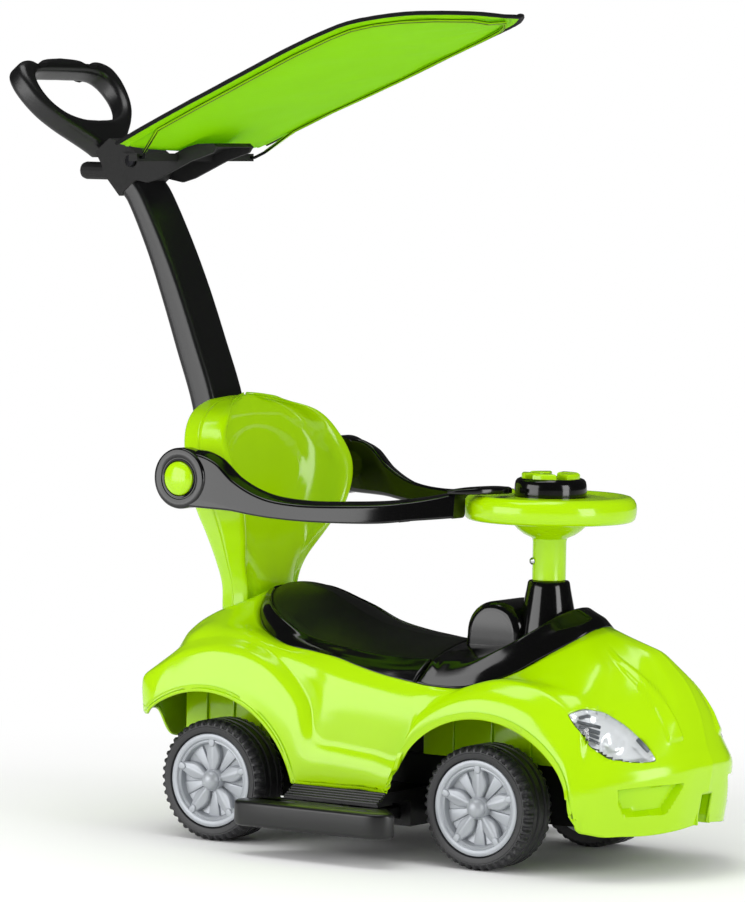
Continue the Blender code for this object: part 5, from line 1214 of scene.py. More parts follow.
@dataclass
class DashCowl:
    """The polished cowl ahead of the seat, with its pommel hump and the collar of the steering column."""

    wall: float = 0.003
    hump_x: float = FRONT_X - 0.0495
    hump_half: float = 0.0375
    hump_width: float = 0.080
    hump_foot: float = 0.226
    hump_shoulder: float = 0.2500
    hump_rise: float = 0.0402
    hump_rounding: float = 0.011
    inside: Point = (FRONT_X - 0.03, 0.0, 0.12)

    def build(self) -> None:
        """Builds the cowl, its hump and its collar."""
        self.build_skin()
        self.build_hump()
        profile = ((0.0044, 0.3150), (0.0200, 0.3152), (0.0225, 0.3146), (0.0238, 0.3128), (0.0250, 0.3060),
                   (0.0338, 0.2620), (0.0352, 0.2500), (0.0352, 0.2380), (0.0044, 0.2380))
        collar = turned(profile, Matrix.Translation((FRONT_X, 0.0, 0.0)), 72)
        place_piece("column_collar", collar, GLOSS_BLACK, "chassis", ("dash_cowl",),
                    30)

    def build_skin(self) -> None:
        """Builds the cowl's skin from the seam at the seat to the hood."""
        seam = [point + Vector((0.0012, 0.0, 0.0)) for point in metres(SEAM, FRONT_X)]
        lowered = [seam[0]] + [point - Vector((-0.0004, 0.0, 0.0035)) for point in seam[1:]]
        ahead = [point + Vector((0.003, 0.0, 0.0)) for point in seam]
        columns = [lowered, ahead] + [metres(points, FRONT_X) for points in COWL_COLUMNS]
        rows = []
        for station in feature_net(columns, 0.0035):
            station[0] = station[0] + (station[1] - station[0]).normalized() * 0.0006
            rows.append(rounded(station, (3, 3.5, 4, 6), (5, 6, 3, 4, 10), 3))
        bm = loft(rows)
        look_out(bm, self.inside)
        add_right_half(bm, self.inside)
        place_piece("cowl_skin", bm, GLOSS_BLACK, "chassis", ("dash_cowl",), 50,
                    self.wall)

    def build_hump(self) -> None:
        """Builds the pommel hump, an arch with rounded edges across the cowl."""
        arch = []
        for step in range(33):
            turn = math.pi * step / 32
            flat = abs(math.sin(turn)) ** 0.86
            arch.append((self.hump_x + self.hump_half * math.cos(turn),
                         self.hump_shoulder + self.hump_rise * flat))
        outline = [(self.hump_x - self.hump_half - 0.003, self.hump_foot),
                   (self.hump_x + self.hump_half + 0.003, self.hump_foot), *arch]
        hump = outline_mesh(outline, self.hump_width / 2, Matrix.Rotation(math.radians(90), 4, "X"),
                            self.hump_rounding, segments=8)
        place_piece("pommel_hump", hump, GLOSS_BLACK, "chassis", ("dash_cowl",), 60)


@dataclass
class Backrest:
    """The two-part lime backrest with a pressed panel on its front."""

    ring: Sequence[tuple[float, float]] = (
        (0.0, 0.487), (0.050, 0.485), (0.084, 0.468), (0.106, 0.440), (0.110, 0.415),
        (0.098, 0.384), (0.075, 0.350), (0.058, 0.318), (0.050, 0.280), (0.048, 0.20),
    )
    dish: tuple[float, float, float] = (0.420, 0.079, 0.052)
    ring_depth: float = 0.0022
    dish_depth: float = 0.0024
    fuller: float = 0.035
    crest: Sequence[tuple[float, float, float]] = (
        (0.25, 0.69, 0.0030), (0.60, 0.35, 0.0053), (0.98, 0.06, 0.0063),
    )
    wall: float = 0.003
    inside: Point = (REAR_X - 0.035, 0.0, 0.38)

    def rows(self) -> tuple[list[list[Vector]], list[list[Vector]]]:
        """Returns the feature rows of the front and of the rear shell, closed over at the crest."""
        front = []
        rear = []
        for z, width, rear_edge, front_edge, front_centre in BACKREST:
            w = width * (1 + self.fuller * smoothstep(320, 400, z))
            parting = (rear_edge + front_edge) / 2
            front.append(metres([
                (front_centre, 0, z), (front_centre + 1, 0.40 * w, z),
                (front_centre + 0.30 * (front_edge - front_centre) - 2, 0.68 * w, z),
                (front_edge - 4, 0.82 * w, z), (front_edge, 0.93 * w, z), (parting + 0.05, w, z)], REAR_X))
            rear.append(metres([
                (parting - 0.05, w, z), (rear_edge, 0.93 * w, z), (rear_edge - 2, 0.80 * w, z),
                (rear_edge - 3, 0.5 * w, z), (rear_edge - 3, 0, z)], REAR_X))
        for shell, seam_at in ((front, -1), (rear, 0)):
            last = shell[-1]
            seam_x = last[seam_at].x
            for inwards, narrow, lift in self.crest:
                shell.append([Vector((p.x + (seam_x - p.x) * inwards, p.y * narrow, p.z + lift))
                              for p in last])
        return front, rear

    def press(self, bm: bmesh.types.BMesh) -> None:
        """Presses the panel and its oval dish into the front shell."""
        outline = [*self.ring, (-0.3, 0.20), (-0.3, 0.487)]
        middle_z, half_y, half_z = self.dish
        for vert in bm.verts:
            deep = smoothstep(0.0, 0.005, inside_distance(vert.co.y, vert.co.z, outline))
            out = math.hypot(vert.co.y / half_y, (vert.co.z - middle_z) / half_z)
            vert.co.x -= self.ring_depth * deep + self.dish_depth * (1 - smoothstep(0.93, 1.0, out))

    def build(self) -> None:
        """Builds the front and rear shells."""
        front, rear = self.rows()
        for name, rows, radii, splits in (
            ("backrest_front", front, (30, 26, 14, 9), (12, 10, 6, 4, 6)),
            ("backrest_rear", rear, (10, 16, 30), (5, 4, 8, 12)),
        ):
            bm = loft([rounded(station, radii, splits, 5) for station in feature_net(rows, 0.004)])
            look_out(bm, self.inside)
            if rows is front:
                self.press(bm)
            add_right_half(bm, self.inside)
            place_piece(f"{name}_skin", bm, LIME, "chassis", (name,), 45, self.wall)


@dataclass
class Wheel:
    """One wheel: a hollow tyre with a notched tread, and a silver hub with five leaf-shaped spokes."""

    word: str
    x: float
    side: int
    body: str
    track: float = 0.238
    radius: float = 0.070
    half: float = 0.028
    rim: float = 0.0543
    steps: int = 180
    notch_steps: int = 4
    notch_depth: float = 0.0020
    notch_inset: float = 0.0013
    groove_steps: int = 12
    groove_depth: float = 0.0009
    spokes: int = 5
    web_depth: float = 0.013

    def place(self) -> Matrix:
        """Returns the wheel's place, with its local Z pointing outwards along the axle."""
        return Matrix.Translation((self.x, self.side * self.track / 2, AXLE_Z)) @ facing(self.side)

    def build_tyre(self) -> None:
        """Builds the tyre with shoulder notches, grooves round the tread and side blocks."""
        r, half = self.radius, self.half
        profile = [(self.rim + 0.0004, half - 0.003), (self.rim + 0.0015, half - 0.0006),
                   (self.rim + 0.004, half), (self.rim + 0.0072, half + 0.0002),
                   (self.rim + 0.0078, half - 0.0005), (self.rim + 0.0092, half - 0.0004),
                   (r - 0.0046, half - 0.0010), (r - 0.0034, half - 0.0014), (r - 0.0014, half - 0.0030),
                   (r - 0.0004, half - 0.0052), (r, half - 0.0072), (r, half - 0.0110),
                   (r - 0.0012, half - 0.0116), (r - 0.0012, half - 0.0124), (r, half - 0.0130), (r, 0.0092),
                   (r - 0.0025, 0.0082), (r - 0.0025, 0.0052), (r, 0.0042), (r, -0.0042),
                   (r - 0.0025, -0.0052), (r - 0.0025, -0.0082), (r, -0.0092), (r, -half + 0.013),
                   (r - 0.0012, -half + 0.0124), (r - 0.0012, -half + 0.0116), (r, -half + 0.011),
                   (r - 0.0006, -half + 0.006), (r - 0.003, -half + 0.002), (r - 0.0060, -half + 0.0006),
                   (self.rim + 0.0004, -half + 0.003)]
        bm = turned(profile, Matrix.Identity(4), self.steps)
        for vert in bm.verts:
            spot = math.hypot(vert.co.x, vert.co.y)
            step = round(math.atan2(vert.co.y, vert.co.x) / math.tau * self.steps) % self.steps
            notched = step % self.notch_steps < self.notch_steps / 2
            if abs(vert.co.z) > half - 0.0090 and spot > r - 0.0047 and notched:
                scale = (spot - self.notch_depth) / spot
                vert.co = Vector((vert.co.x * scale, vert.co.y * scale,
                                  vert.co.z - math.copysign(self.notch_inset, vert.co.z)))
            elif half - 0.0180 < abs(vert.co.z) < half - 0.0095 and step % self.groove_steps < 1:
                scale = (spot - self.groove_depth) / spot
                vert.co = Vector((vert.co.x * scale, vert.co.y * scale, vert.co.z))
        bmesh.ops.transform(bm, matrix=self.place(), verts=bm.verts)
        place_piece(f"tyre_{self.word}_tread", bm, TYRE, self.body, (f"tyre_{self.word}",),
                    28)

    def build_hub(self) -> None:
        """Builds the hub's ring, web, spokes and ribs."""
        half = self.half
        web = half - self.web_depth
        profile = ((0.0, web), (0.0400, web), (0.0415, web + 0.0006), (0.0432, half - 0.0046),
                   (0.0446, half - 0.0036), (0.0460, half - 0.0040), (0.0474, half - 0.0018),
                   (0.0490, half - 0.0012), (0.0524, half - 0.0010), (0.0536, half - 0.0016),
                   (0.0541, half - 0.0030), (0.0543, half - 0.0050), (0.0543, -half + 0.002),
                   (0.0513, -half + 0.002), (0.0513, web - 0.004), (0.0125, web - 0.004),
                   (0.0125, -half - 0.0026), (0.0, -half - 0.0026))
        bm = turned(profile, Matrix.Identity(4), 96)
        self.add_spokes(bm, web)
        boss = turned(((0.0, web + 0.0096), (0.0118, web + 0.0096), (0.0127, web + 0.0084),
                       (0.0135, web + 0.002), (0.0145, web - 0.001),
                       (0.0, web - 0.001)), Matrix.Identity(4), 64)
        add_mesh(bm, boss)
        bmesh.ops.transform(bm, matrix=self.place(), verts=bm.verts)
        place_piece(f"hub_{self.word}_spokes", bm, SILVER, self.body, (f"hub_{self.word}",),
                    35)
        low = web + 0.0099
        cap = turned(((0.0, low + 0.0090), (0.0030, low + 0.0087), (0.0062, low + 0.0076),
                      (0.0088, low + 0.0058), (0.0106, low + 0.0034), (0.0113, low + 0.0012), (0.0115, low),
                      (0.0, low)), self.place(), 64)
        place_piece(f"cap_{self.word}_dome", cap, SILVER, self.body, (f"hub_cap_{self.word}",),
                    50)

    def add_spokes(self, bm: bmesh.types.BMesh, web: float) -> None:
        """Adds the leaf-shaped spokes, the teeth at the ring and the ribs between them.

        Args:
            bm: The hub's mesh, made about its own axis.
            web: How high the hub's web lies along the axis.
        """
        leaf = ((0.0100, 0.0030), (0.0160, 0.0058), (0.0220, 0.0084), (0.0270, 0.0094), (0.0330, 0.0088),
                (0.0395, 0.0066), (0.0448, 0.0048))
        tooth = ((0.0385, 0.0012), (0.0405, 0.0034), (0.0440, 0.0042), (0.0475, 0.0036), (0.0492, 0.0018))
        for at in range(self.spokes):
            turn = Matrix.Rotation(math.radians(90) + at * math.tau / self.spokes, 4, "Z")
            for shape, foot, top, rounding in ((leaf, web - 0.002, web + 0.0075, 0.0024),
                                               (tooth, web, self.half - 0.0022, 0.0016)):
                outline = [*shape, *[(x, -y) for x, y in reversed(shape)]]
                smooth = [(p.x, p.y) for p in smooth_outline([Vector((x, y, 0.0)) for x, y in outline], 3)]
                lift = Matrix.Translation((0.0, 0.0, (foot + top) / 2))
                spoke = outline_mesh(smooth, (top - foot) / 2, turn @ lift, rounding, segments=4)
                if shape is leaf:
                    for vert in spoke.verts:
                        if vert.co.z > web + 0.002:
                            out = math.hypot(vert.co.x, vert.co.y)
                            crest = abs((turn.inverted() @ vert.co).y)
                            vert.co.z += 0.0016 * smoothstep(0.014, 0.036, out) - crest * 0.30 + 0.0008
                add_mesh(bm, spoke)
            between = Matrix.Rotation(math.radians(90) + (at + 0.5) * math.tau / self.spokes, 4, "Z")
            rib = box_mesh((0.011, -0.0060, web - 0.001), (0.0445, 0.0060, web + 0.0024), 0.0010, 3)
            for vert in rib.verts:
                vert.co.y *= 0.40 + 1.0 * min(max((vert.co.x - 0.011) / 0.0335, 0.0), 1.0)
            bmesh.ops.transform(rib, matrix=between, verts=rib.verts)
            add_mesh(bm, rib)

    def build(self) -> None:
        """Builds the whole wheel."""
        self.build_tyre()
        self.build_hub()


@dataclass
class Footrest:
    """The slide-out footrest with its slots, and the ribbed slope above it."""

    half_length: float = 0.063
    ribs: int = 5
    top: float = 0.062
    height: float = 0.029
    tread_y: float = 0.171
    tread_drop: float = 0.0012
    outline: Sequence[tuple[float, float]] = (
        (-0.0660, 0.150), (-0.0840, 0.1700), (-0.1010, 0.1900), (-0.1052, 0.1980), (-0.1040, 0.2060),
        (-0.0985, 0.2120), (-0.0900, 0.2148), (-0.0500, 0.2150), (0.0500, 0.2150), (0.0740, 0.2148),
        (0.0860, 0.2130), (0.0950, 0.2090), (0.1015, 0.2020), (0.1040, 0.1950), (0.1010, 0.1880),
        (0.0840, 0.1700), (0.0660, 0.150),
    )
    slots: Sequence[tuple[float, float, float]] = (
        (-0.083, -0.038, 0.184), (-0.020, 0.024, 0.178), (0.026, 0.064, 0.192),
    )

    def build_step(self, side: int, word: str) -> None:
        """Builds one footrest."""
        holes = []
        for start, end, y in self.slots:
            hole = [(start, y - 0.0010), (end - 0.006, y - 0.0016), (end - 0.003, y - 0.0038),
                    (end + 0.002, y - 0.0034), (end + 0.004, y), (end + 0.002, y + 0.0034),
                    (end - 0.003, y + 0.0038), (end - 0.006, y + 0.0016), (start, y + 0.0010)]
            holes.append([(MIDDLE_X + x, side * deep) for x, deep in hole])
        outline = [(MIDDLE_X + x, side * y) for x, y in self.outline]
        middle = Matrix.Translation((0.0, 0.0, self.top - self.height / 2))
        bm = outline_mesh(outline, self.height / 2, middle, 0.0045, holes, 5)
        for vert in bm.verts:
            if vert.co.z > self.top - 0.0005 and abs(vert.co.y) < self.tread_y:
                vert.co.z -= self.tread_drop
        add_mesh(bm, side_box(side, (MIDDLE_X - 0.049, 0.068, 0.0425), (MIDDLE_X + 0.049, 0.152, 0.0555),
                              0.001, 2))
        place_piece(f"footrest_{word}_step", bm, SATIN_BLACK, f"footrest_slide_{word}",
                    (f"footrest_{word}",), 40)

    def build(self) -> None:
        """Builds both footrests and the ribs of both sides."""
        for side, word in SIDES:
            self.build_step(side, word)
        for side, word in SIDES:
            bm = bmesh.new()
            for at in range(self.ribs):
                share = (at + 0.5) / self.ribs
                y = 0.1462 + 0.0200 * share
                z = 0.0766 - 0.0116 * share
                add_mesh(bm, side_box(side, (MIDDLE_X - self.half_length, y - 0.0016, z - 0.0024),
                                      (MIDDLE_X + self.half_length, y + 0.0016, z + 0.0016), 0.0009, 3))
            place_piece(f"step_ribs_{word}", bm, SATIN_BLACK, "chassis", ())


@dataclass
class GuardArm:
    """One guard arm: disc with a ring groove, tapering arm, end band and tongue over the steering wheel."""

    side: int
    word: str
    width: float = 0.024
    outer_y: float = 0.1765
    pivot: tuple[float, float] = (REAR_X - 0.029, 0.418)
    top_slope: float = 0.0065
    tongue_half: float = 0.0105
    bands: Sequence[tuple[float, float]] = ((-117.5, 1.4), (-62, 1.2))

    def section(self, place: Vector, foot: float, top: float) -> list[Vector]:
        """Returns one rounded section of the arm."""
        outer, inner = place.y, place.y - self.width
        corners = [Vector((place.x, y, z)) for y, z in (
            (outer, foot), (inner, foot), (inner, top), (outer - 0.003, top - self.top_slope))]
        ring = [corners[3].lerp(corners[0], 0.5), *corners, corners[3].lerp(corners[0], 0.5)]
        return rounded(ring, (2.5, 6, 8, 3), (3, 3, 3, 3, 3), 4)[:-1]

    def build(self) -> None:
        """Builds the arm and its button."""
        bm = self.arm_mesh()
        put_on_side(bm, self.side)
        bmesh.ops.recalc_face_normals(bm, faces=bm.faces)
        place_piece(f"guard_arm_{self.word}_fine", bm, GLOSS_BLACK, f"guard_{self.word}",
                    (f"guard_arm_{self.word}",), 40)
        inner_y = self.outer_y - self.width
        place = Matrix.Translation((self.pivot[0], self.side * (inner_y + 0.0124), self.pivot[1]))
        height = self.outer_y - inner_y - 0.0095
        button = turned(((0.0, height + 0.0030), (0.0060, height + 0.0027), (0.0110, height + 0.0019),
                         (0.0152, height + 0.0006), (0.0180, height - 0.0010), (0.0190, height - 0.0022),
                         (0.0194, height - 0.0040), (0.0194, 0.0), (0.0, 0.0)),
                        place @ facing(self.side), 72)
        place_piece(f"guard_button_{self.word}_dome", button, LIME, f"guard_release_{self.word}",
                    (f"guard_button_{self.word}",), 50)

    def arm_mesh(self) -> bmesh.types.BMesh:
        """Returns the left arm with its tongue, disc and bands."""
        rows = [(REAR_X + x * MM, y * MM, foot * MM, top * MM) for x, y, foot, top in GUARD_STATIONS]
        rows += [(FRONT_X + x * MM, y * MM, foot * MM, top * MM) for x, y, foot, top in GUARD_FRONT_STATIONS]
        line = curve_through([Vector((x, y, foot)) for x, y, foot, top in rows], [8] * (len(rows) - 1))
        tops = curve_through([Vector((x, y, top)) for x, y, foot, top in rows], [8] * (len(rows) - 1))
        sections = [self.section(low, low.z, high.z) for low, high in zip(line, tops)]
        bm = swept(sections)
        add_mesh(bm, self.tongue_mesh())
        add_mesh(bm, self.disc_mesh())
        for x_mm, width_mm in self.bands:
            x = FRONT_X + x_mm * MM
            near = min(range(len(line)), key=lambda at: abs(line[at].x - x))
            centre = middle_of(sections[near])
            grown = [centre + (point - centre) * 1.035 for point in sections[near]]
            way = heading(line, near).normalized() * width_mm * MM
            add_mesh(bm, swept([[point - way for point in grown], [point + way for point in grown]]))
        return bm

    def tongue_mesh(self) -> bmesh.types.BMesh:
        """Returns the tongue that rests over the steering wheel's rim."""
        tongue = [(FRONT_X + x * MM, (y - 8) * MM, foot * MM, top * MM) for x, y, foot, top in GUARD_TONGUE]
        middle = curve_through([Vector((x, y, foot)) for x, y, foot, top in tongue], [6] * (len(tongue) - 1))
        crest = curve_through([Vector((x, y, top)) for x, y, foot, top in tongue], [6] * (len(tongue) - 1))
        loops = []
        for at, (low, high) in enumerate(zip(middle, crest)):
            way = heading(middle, at)
            across = Vector((-way.y, way.x, 0.0)).normalized() * self.tongue_half
            across *= 1 - 0.35 * smoothstep(0.85, 1.0, at / (len(middle) - 1))
            up = Vector((0.0, 0.0, high.z - low.z))
            ring = [low - across, low + across, low + across + up * 0.75, low + up, low - across + up * 0.75,
                    low - across]
            loops.append(rounded(ring, (1.5, 2, 4, 2), (2, 3, 2, 2, 3), 3)[:-1])
        return swept(loops)

    def disc_mesh(self) -> bmesh.types.BMesh:
        """Returns the disc round the pivot, with a ring groove and the button's seat."""
        outer, inner = self.outer_y, self.outer_y - self.width
        disc = turned(((0.0199, inner + 0.008), (0.0199, outer - 0.0012), (0.0206, outer - 0.0002),
                       (0.0222, outer + 0.0002), (0.0228, outer - 0.0010), (0.0236, outer - 0.0010),
                       (0.0241, outer - 0.0002), (0.0247, outer), (0.0324, outer), (0.0332, outer - 0.0002),
                       (0.0345, outer - 0.0012), (0.0350, outer - 0.0030), (0.0350, inner + 0.003),
                       (0.0335, inner), (0.0066, inner), (0.0066, inner + 0.008)), facing(1), 96)
        bmesh.ops.translate(disc, vec=(self.pivot[0], 0.0, self.pivot[1]), verts=disc.verts)
        return disc


@dataclass
class SteeringWheel:
    """The lime steering wheel with a polished pad and five horn buttons."""

    radius: float = 0.098
    low: float = 0.383
    top: float = 0.412
    pad_radius: float = 0.0410
    pad_top: float = 0.431
    buttons: int = 5

    def build(self) -> None:
        """Builds the wheel, the pad and the buttons."""
        centre = Matrix.Translation((FRONT_X, 0.0, 0.0))
        rim, low, top = self.radius, self.low, self.top
        profile = ((0.0414, top - 0.004), (0.0430, top - 0.0018), (0.0530, top - 0.0012),
                   (0.0700, top - 0.0034), (rim - 0.020, top - 0.0034), (rim - 0.016, top - 0.0012),
                   (rim - 0.011, top), (rim - 0.007, top - 0.0010), (rim - 0.003, top - 0.0042),
                   (rim - 0.0006, top - 0.0090), (rim, top - 0.014), (rim - 0.0006, low + 0.008),
                   (rim - 0.002, low + 0.0030), (rim - 0.0045, low + 0.0008), (rim - 0.007, low),
                   (rim - 0.011, low), (rim - 0.0130, low + 0.003), (rim - 0.014, top - 0.010),
                   (0.0500, top - 0.0135), (0.0462, top - 0.0150), (0.0448, low + 0.004), (0.0440, low),
                   (0.0415, low - 0.0050), (0.0365, low - 0.0105), (0.0290, low - 0.0160),
                   (0.0220, low - 0.0190), (0.0198, low - 0.0205), (0.0190, low - 0.024), (0.0190, 0.3160),
                   (0.0186, 0.3156), (0.0046, 0.3156), (0.0046, 0.3784), (0.0155, 0.3784),
                   (0.0414, low + 0.006))
        wheel = turned(profile, centre, 128)
        place_piece("steering_rim", wheel, LIME, "steering_column", ("steering_wheel",), 35)
        edge, height = self.pad_radius, self.pad_top
        pad = turned(((0.0, height - 0.0008), (0.0330, height - 0.0008), (0.0352, height),
                      (0.0380, height - 0.0012), (0.0398, height - 0.0036), (0.0408, height - 0.0080),
                      (edge, height - 0.0120), (edge, low + 0.0075), (0.0380, low + 0.0075), (0.0380, 0.4240),
                      (0.0, 0.4240)), centre, 96)
        place_piece("horn_pad_skin", pad, GLOSS_BLACK, "steering_column", ("horn_pad",),
                    40)
        for at in range(self.buttons):
            angle = math.tau * at / self.buttons
            outline = []
            for radius, half, count in ((0.0332, 0.43, 16), (0.0126, 0.30, 7)):
                for step in range(count + 1):
                    turn = angle + half * (2 * step / count - 1) * (1 if radius > 0.02 else -1)
                    outline.append((radius * math.cos(turn), radius * math.sin(turn)))
            place = centre @ Matrix.Translation((0.0, 0.0, self.pad_top - 0.0005))
            button = outline_mesh(outline, 0.0065, place, 0.0024, segments=5)
            place_piece(f"horn_button_{at + 1}_petal", button, LIME, f"horn_{at + 1}",
                        (f"horn_button_{at + 1}",), 50)


@dataclass
class PushPole:
    """The curved push pole and its D-shaped handle."""

    half_width: float = 0.033

    def stations(self) -> list[tuple[Vector, float, Vector]]:
        """Returns the pole's middle, depth and forward direction at even steps."""
        counts = [6] * (len(POLE) - 1)
        line = curve_through([Vector((REAR_X + x * MM, 0.0, z * MM)) for z, x, depth in POLE], counts)
        depths = curve_through([Vector((depth * MM, 0.0, z * MM)) for z, x, depth in POLE], counts)
        out = []
        for at, (middle, depth) in enumerate(zip(line, depths)):
            way = heading(line, at).normalized()
            out.append((middle, depth.x, Vector((way.z, 0.0, -way.x))))
        return out

    def build(self) -> None:
        """Builds the pole and the handle."""
        loops = []
        for middle, depth, ahead in self.stations():
            wide = Vector((0.0, self.half_width, 0.0))
            half = ahead * depth / 2
            corners = [middle - half - wide, middle + half - wide, middle + half + wide, middle - half + wide]
            ring = [corners[3].lerp(corners[0], 0.5), *corners, corners[3].lerp(corners[0], 0.5)]
            loops.append(rounded(ring, (8, 8, 8, 8), (2, 3, 5, 3, 2), 5)[:-1])
        place_piece("push_pole_fine", swept(loops), SATIN_BLACK, "chassis", ("push_pole",),
                    40)
        middle = self.stations()[-1][0]
        lean = math.atan2(POLE[-2][1] - POLE[-1][1], POLE[-1][0] - POLE[-2][0])
        upwards = Vector((-math.sin(lean), 0.0, math.cos(lean)))
        forwards = Vector((math.cos(lean), 0.0, math.sin(lean)))
        stand = Matrix((Vector((0.0, 1.0, 0.0)), upwards, -forwards)).transposed().to_4x4()
        stand.translation = middle - forwards * 0.015
        half_outline = [Vector((y, up, 0.0)) for y, up in HANDLE_PROFILE]
        half_hole = [Vector((y, up, 0.0)) for y, up in HANDLE_OPENING]
        shapes = []
        for half in (half_outline, half_hole):
            line = curve_through(half, [4] * (len(half) - 1))
            far_side = [(-p.x, p.y) for p in reversed(line[:-1]) if p.x > SAME_SPOT]
            shapes.append([(p.x, p.y) for p in line] + far_side)
        handle = outline_mesh(shapes[0], 0.014, stand, 0.0085, (shapes[1],), 6)
        place_piece("handle_loop_fine", handle, SATIN_BLACK, "chassis", ("handle_loop",),
                    60)


@dataclass
class Canopy:
    """The tilting sun canopy: one stretched polyester sheet with a bound edge and a stitched wire channel."""

    sag: float = 0.009
    thickness: float = 0.0016
    steps_across: int = 44
    channel: float = 0.017
    channel_start: float = -0.105
    channel_cloth: float = 0.0009
    ceiling: float = 0.9549
    stitch: float = 0.005
    stitch_ceiling: float = 0.9535
    tape_half_width: float = 0.0040
    tape_half_height: float = 0.0024
    hem: float = 0.004

    def rim(self, outwards: float = 0.0) -> list[Vector]:
        """Returns half of the edge from the rear to the nose, moved outwards or inwards."""
        edge = curve_through(metres(CANOPY_EDGE, REAR_X), [7] * (len(CANOPY_EDGE) - 1))
        edge.append(Vector((edge[-1].x + 0.0012, 0.0035, edge[-1].z)))
        out = []
        for at, point in enumerate(edge):
            way = heading(edge, at)
            away = Vector((-way.y, way.x, 0.0)).normalized()
            out.append(point + away * outwards)
        return out

    def height(self, point: Vector, share: float) -> float:
        """Returns how far the cloth stands above the rim at a share of the half width."""
        depth = self.sag * min(1.0, point.y / 0.10)
        return -depth * (1 - share ** 2.2)

    def wrinkle(self, x: float, y: float, share: float) -> float:
        """Returns the height of the soft folds that run across the tightened cloth."""
        inside = smoothstep(0.0, 0.25, 1 - share)
        folds = noise.noise(Vector((x * 21.0 + y * 4.0, y * 5.0, 3.0))) * 0.0026
        fine = noise.noise(Vector((x * 62.0 - y * 9.0, y * 17.0, 9.0))) * 0.0009
        pull = noise.noise(Vector((x * 9.0, y * 34.0, 5.0))) * 0.0010 * smoothstep(0.5, 1.0, share)
        return (folds + fine) * inside + pull * (1 - inside * 0.5)

    def build(self) -> None:
        rim = self.rim()
        rows = []
        flat = []
        for point in rim:
            row = []
            for step in range(self.steps_across * 2 + 1):
                across = step / self.steps_across - 1
                share = min(abs(across) ** 0.9, 1.0)
                y = point.y * share * (1 if across >= 0 else -1)
                inset = point.y * (1 - share)
                seam = 0.0011 * (1 - smoothstep(0.0018, 0.0035, abs(inset - self.channel)))
                z = point.z + self.height(point, share) + self.wrinkle(point.x, y, share) - seam
                row.append(Vector((point.x, y, min(z, self.ceiling))))
            rows.append(row)
        channel = self.build_channel()
        sheet = loft(rows)
        along = [0.0]
        for here, ahead in zip(rows, rows[1:]):
            along.append(along[-1] + (ahead[self.steps_across] - here[self.steps_across]).length)
        lay_cloth_map(sheet, lambda co: (
            along[min(range(len(rows)), key=lambda at: abs(rows[at][0].x - co.x))], co.y))
        area = sum(face.calc_area() for face in sheet.faces)
        look_out(sheet, (rim[10].x, 0.0, 0.5))
        piece = place_piece("canopy_cloth", sheet, CLOTH, "canopy", ("canopy_fabric",), 60,
                            self.thickness)
        binding = self.build_binding()
        stitches = self.build_stitches(rim)

    def build_channel(self) -> Piece:
        """Builds the folded cloth that the wire runs in, from just ahead of the crossbar round the nose."""
        wire = frame["nodes"]["canopy_frame"]
        bm = bmesh.new()
        bm.from_mesh(wire.data)
        bmesh.ops.transform(bm, matrix=wire.matrix_world, verts=bm.verts)
        bm.normal_update()
        moves = [(vert, vert.co + vert.normal * self.channel_cloth) for vert in bm.verts]
        for vert, place in moves:
            vert.co = place
        rear = [face for face in bm.faces if face.calc_center_median().x < REAR_X + self.channel_start]
        bmesh.ops.delete(bm, geom=rear, context="FACES")
        bmesh.ops.holes_fill(bm, edges=[edge for edge in bm.edges if edge.is_boundary], sides=0)
        bmesh.ops.recalc_face_normals(bm, faces=bm.faces)
        lay_cloth_map(bm, lambda co: (co.x, co.y))
        return place_piece("canopy_wire_channel", bm, CLOTH, "canopy", (), 60)

    def build_binding(self) -> Piece:
        """Builds the folded binding tape along the whole edge."""
        line = [point + Vector((0.0, 0.0, -self.thickness / 2)) for point in self.rim(0.0014)]
        line += [Vector((point.x, -point.y, point.z)) for point in reversed(line)]
        loops = []
        for at, point in enumerate(line):
            way = heading(line, at).normalized()
            away = Vector((-way.y, way.x, 0.0)).normalized() * self.tape_half_width
            up = Vector((0.0, 0.0, self.tape_half_height))
            loop = []
            for step in range(12):
                turn = math.tau * step / 12
                puff = 1 + 0.08 * noise.noise(Vector((at * 0.5, step * 0.7, 2.0)))
                loop.append(point + away * math.cos(turn) * puff + up * math.sin(turn) * puff)
            loops.append(loop)
        bm = swept(loops)
        lay_cloth_map(bm, lambda co: (co.x + co.y, co.z * 3))
        return place_piece("canopy_edge_binding", bm, TAPE, "canopy", ("canopy_binding",),
                           60)

    def build_stitches(self, rim: Sequence[Vector]) -> Piece:
        """Builds the row of stitches that closes the wire channel."""
        bm = bmesh.new()
        for side in Side:
            travelled = 0.0
            for here, ahead in zip(rim[2:-4], rim[3:-3]):
                travelled += (ahead - here).length
                if travelled < self.stitch or here.y < 0.03:
                    continue
                travelled = 0.0
                for inset in (self.channel - 0.0035, self.channel + 0.0035):
                    share = 1 - inset / here.y
                    fold = self.wrinkle(here.x, here.y * share * side.value, share)
                    z = here.z + self.height(here, share) + fold - self.thickness
                    way = ahead - here
                    middle = Vector((here.x, here.y * share, min(z, self.stitch_ceiling)))
                    stitch = box_mesh((-0.0016, -0.0003, -0.0003), (0.0016, 0.0003, 0.0003))
                    turn = way.to_track_quat("X", "Z").to_matrix().to_4x4()
                    bmesh.ops.transform(stitch, matrix=Matrix.Translation(middle) @ turn, verts=stitch.verts)
                    put_on_side(stitch, side.value)
                    add_mesh(bm, stitch)
        bmesh.ops.recalc_face_normals(bm, faces=bm.faces)
        lay_cloth_map(bm, lambda co: (co.x, co.y))
        return place_piece("canopy_stitches", bm, CLOTH, "canopy", ())


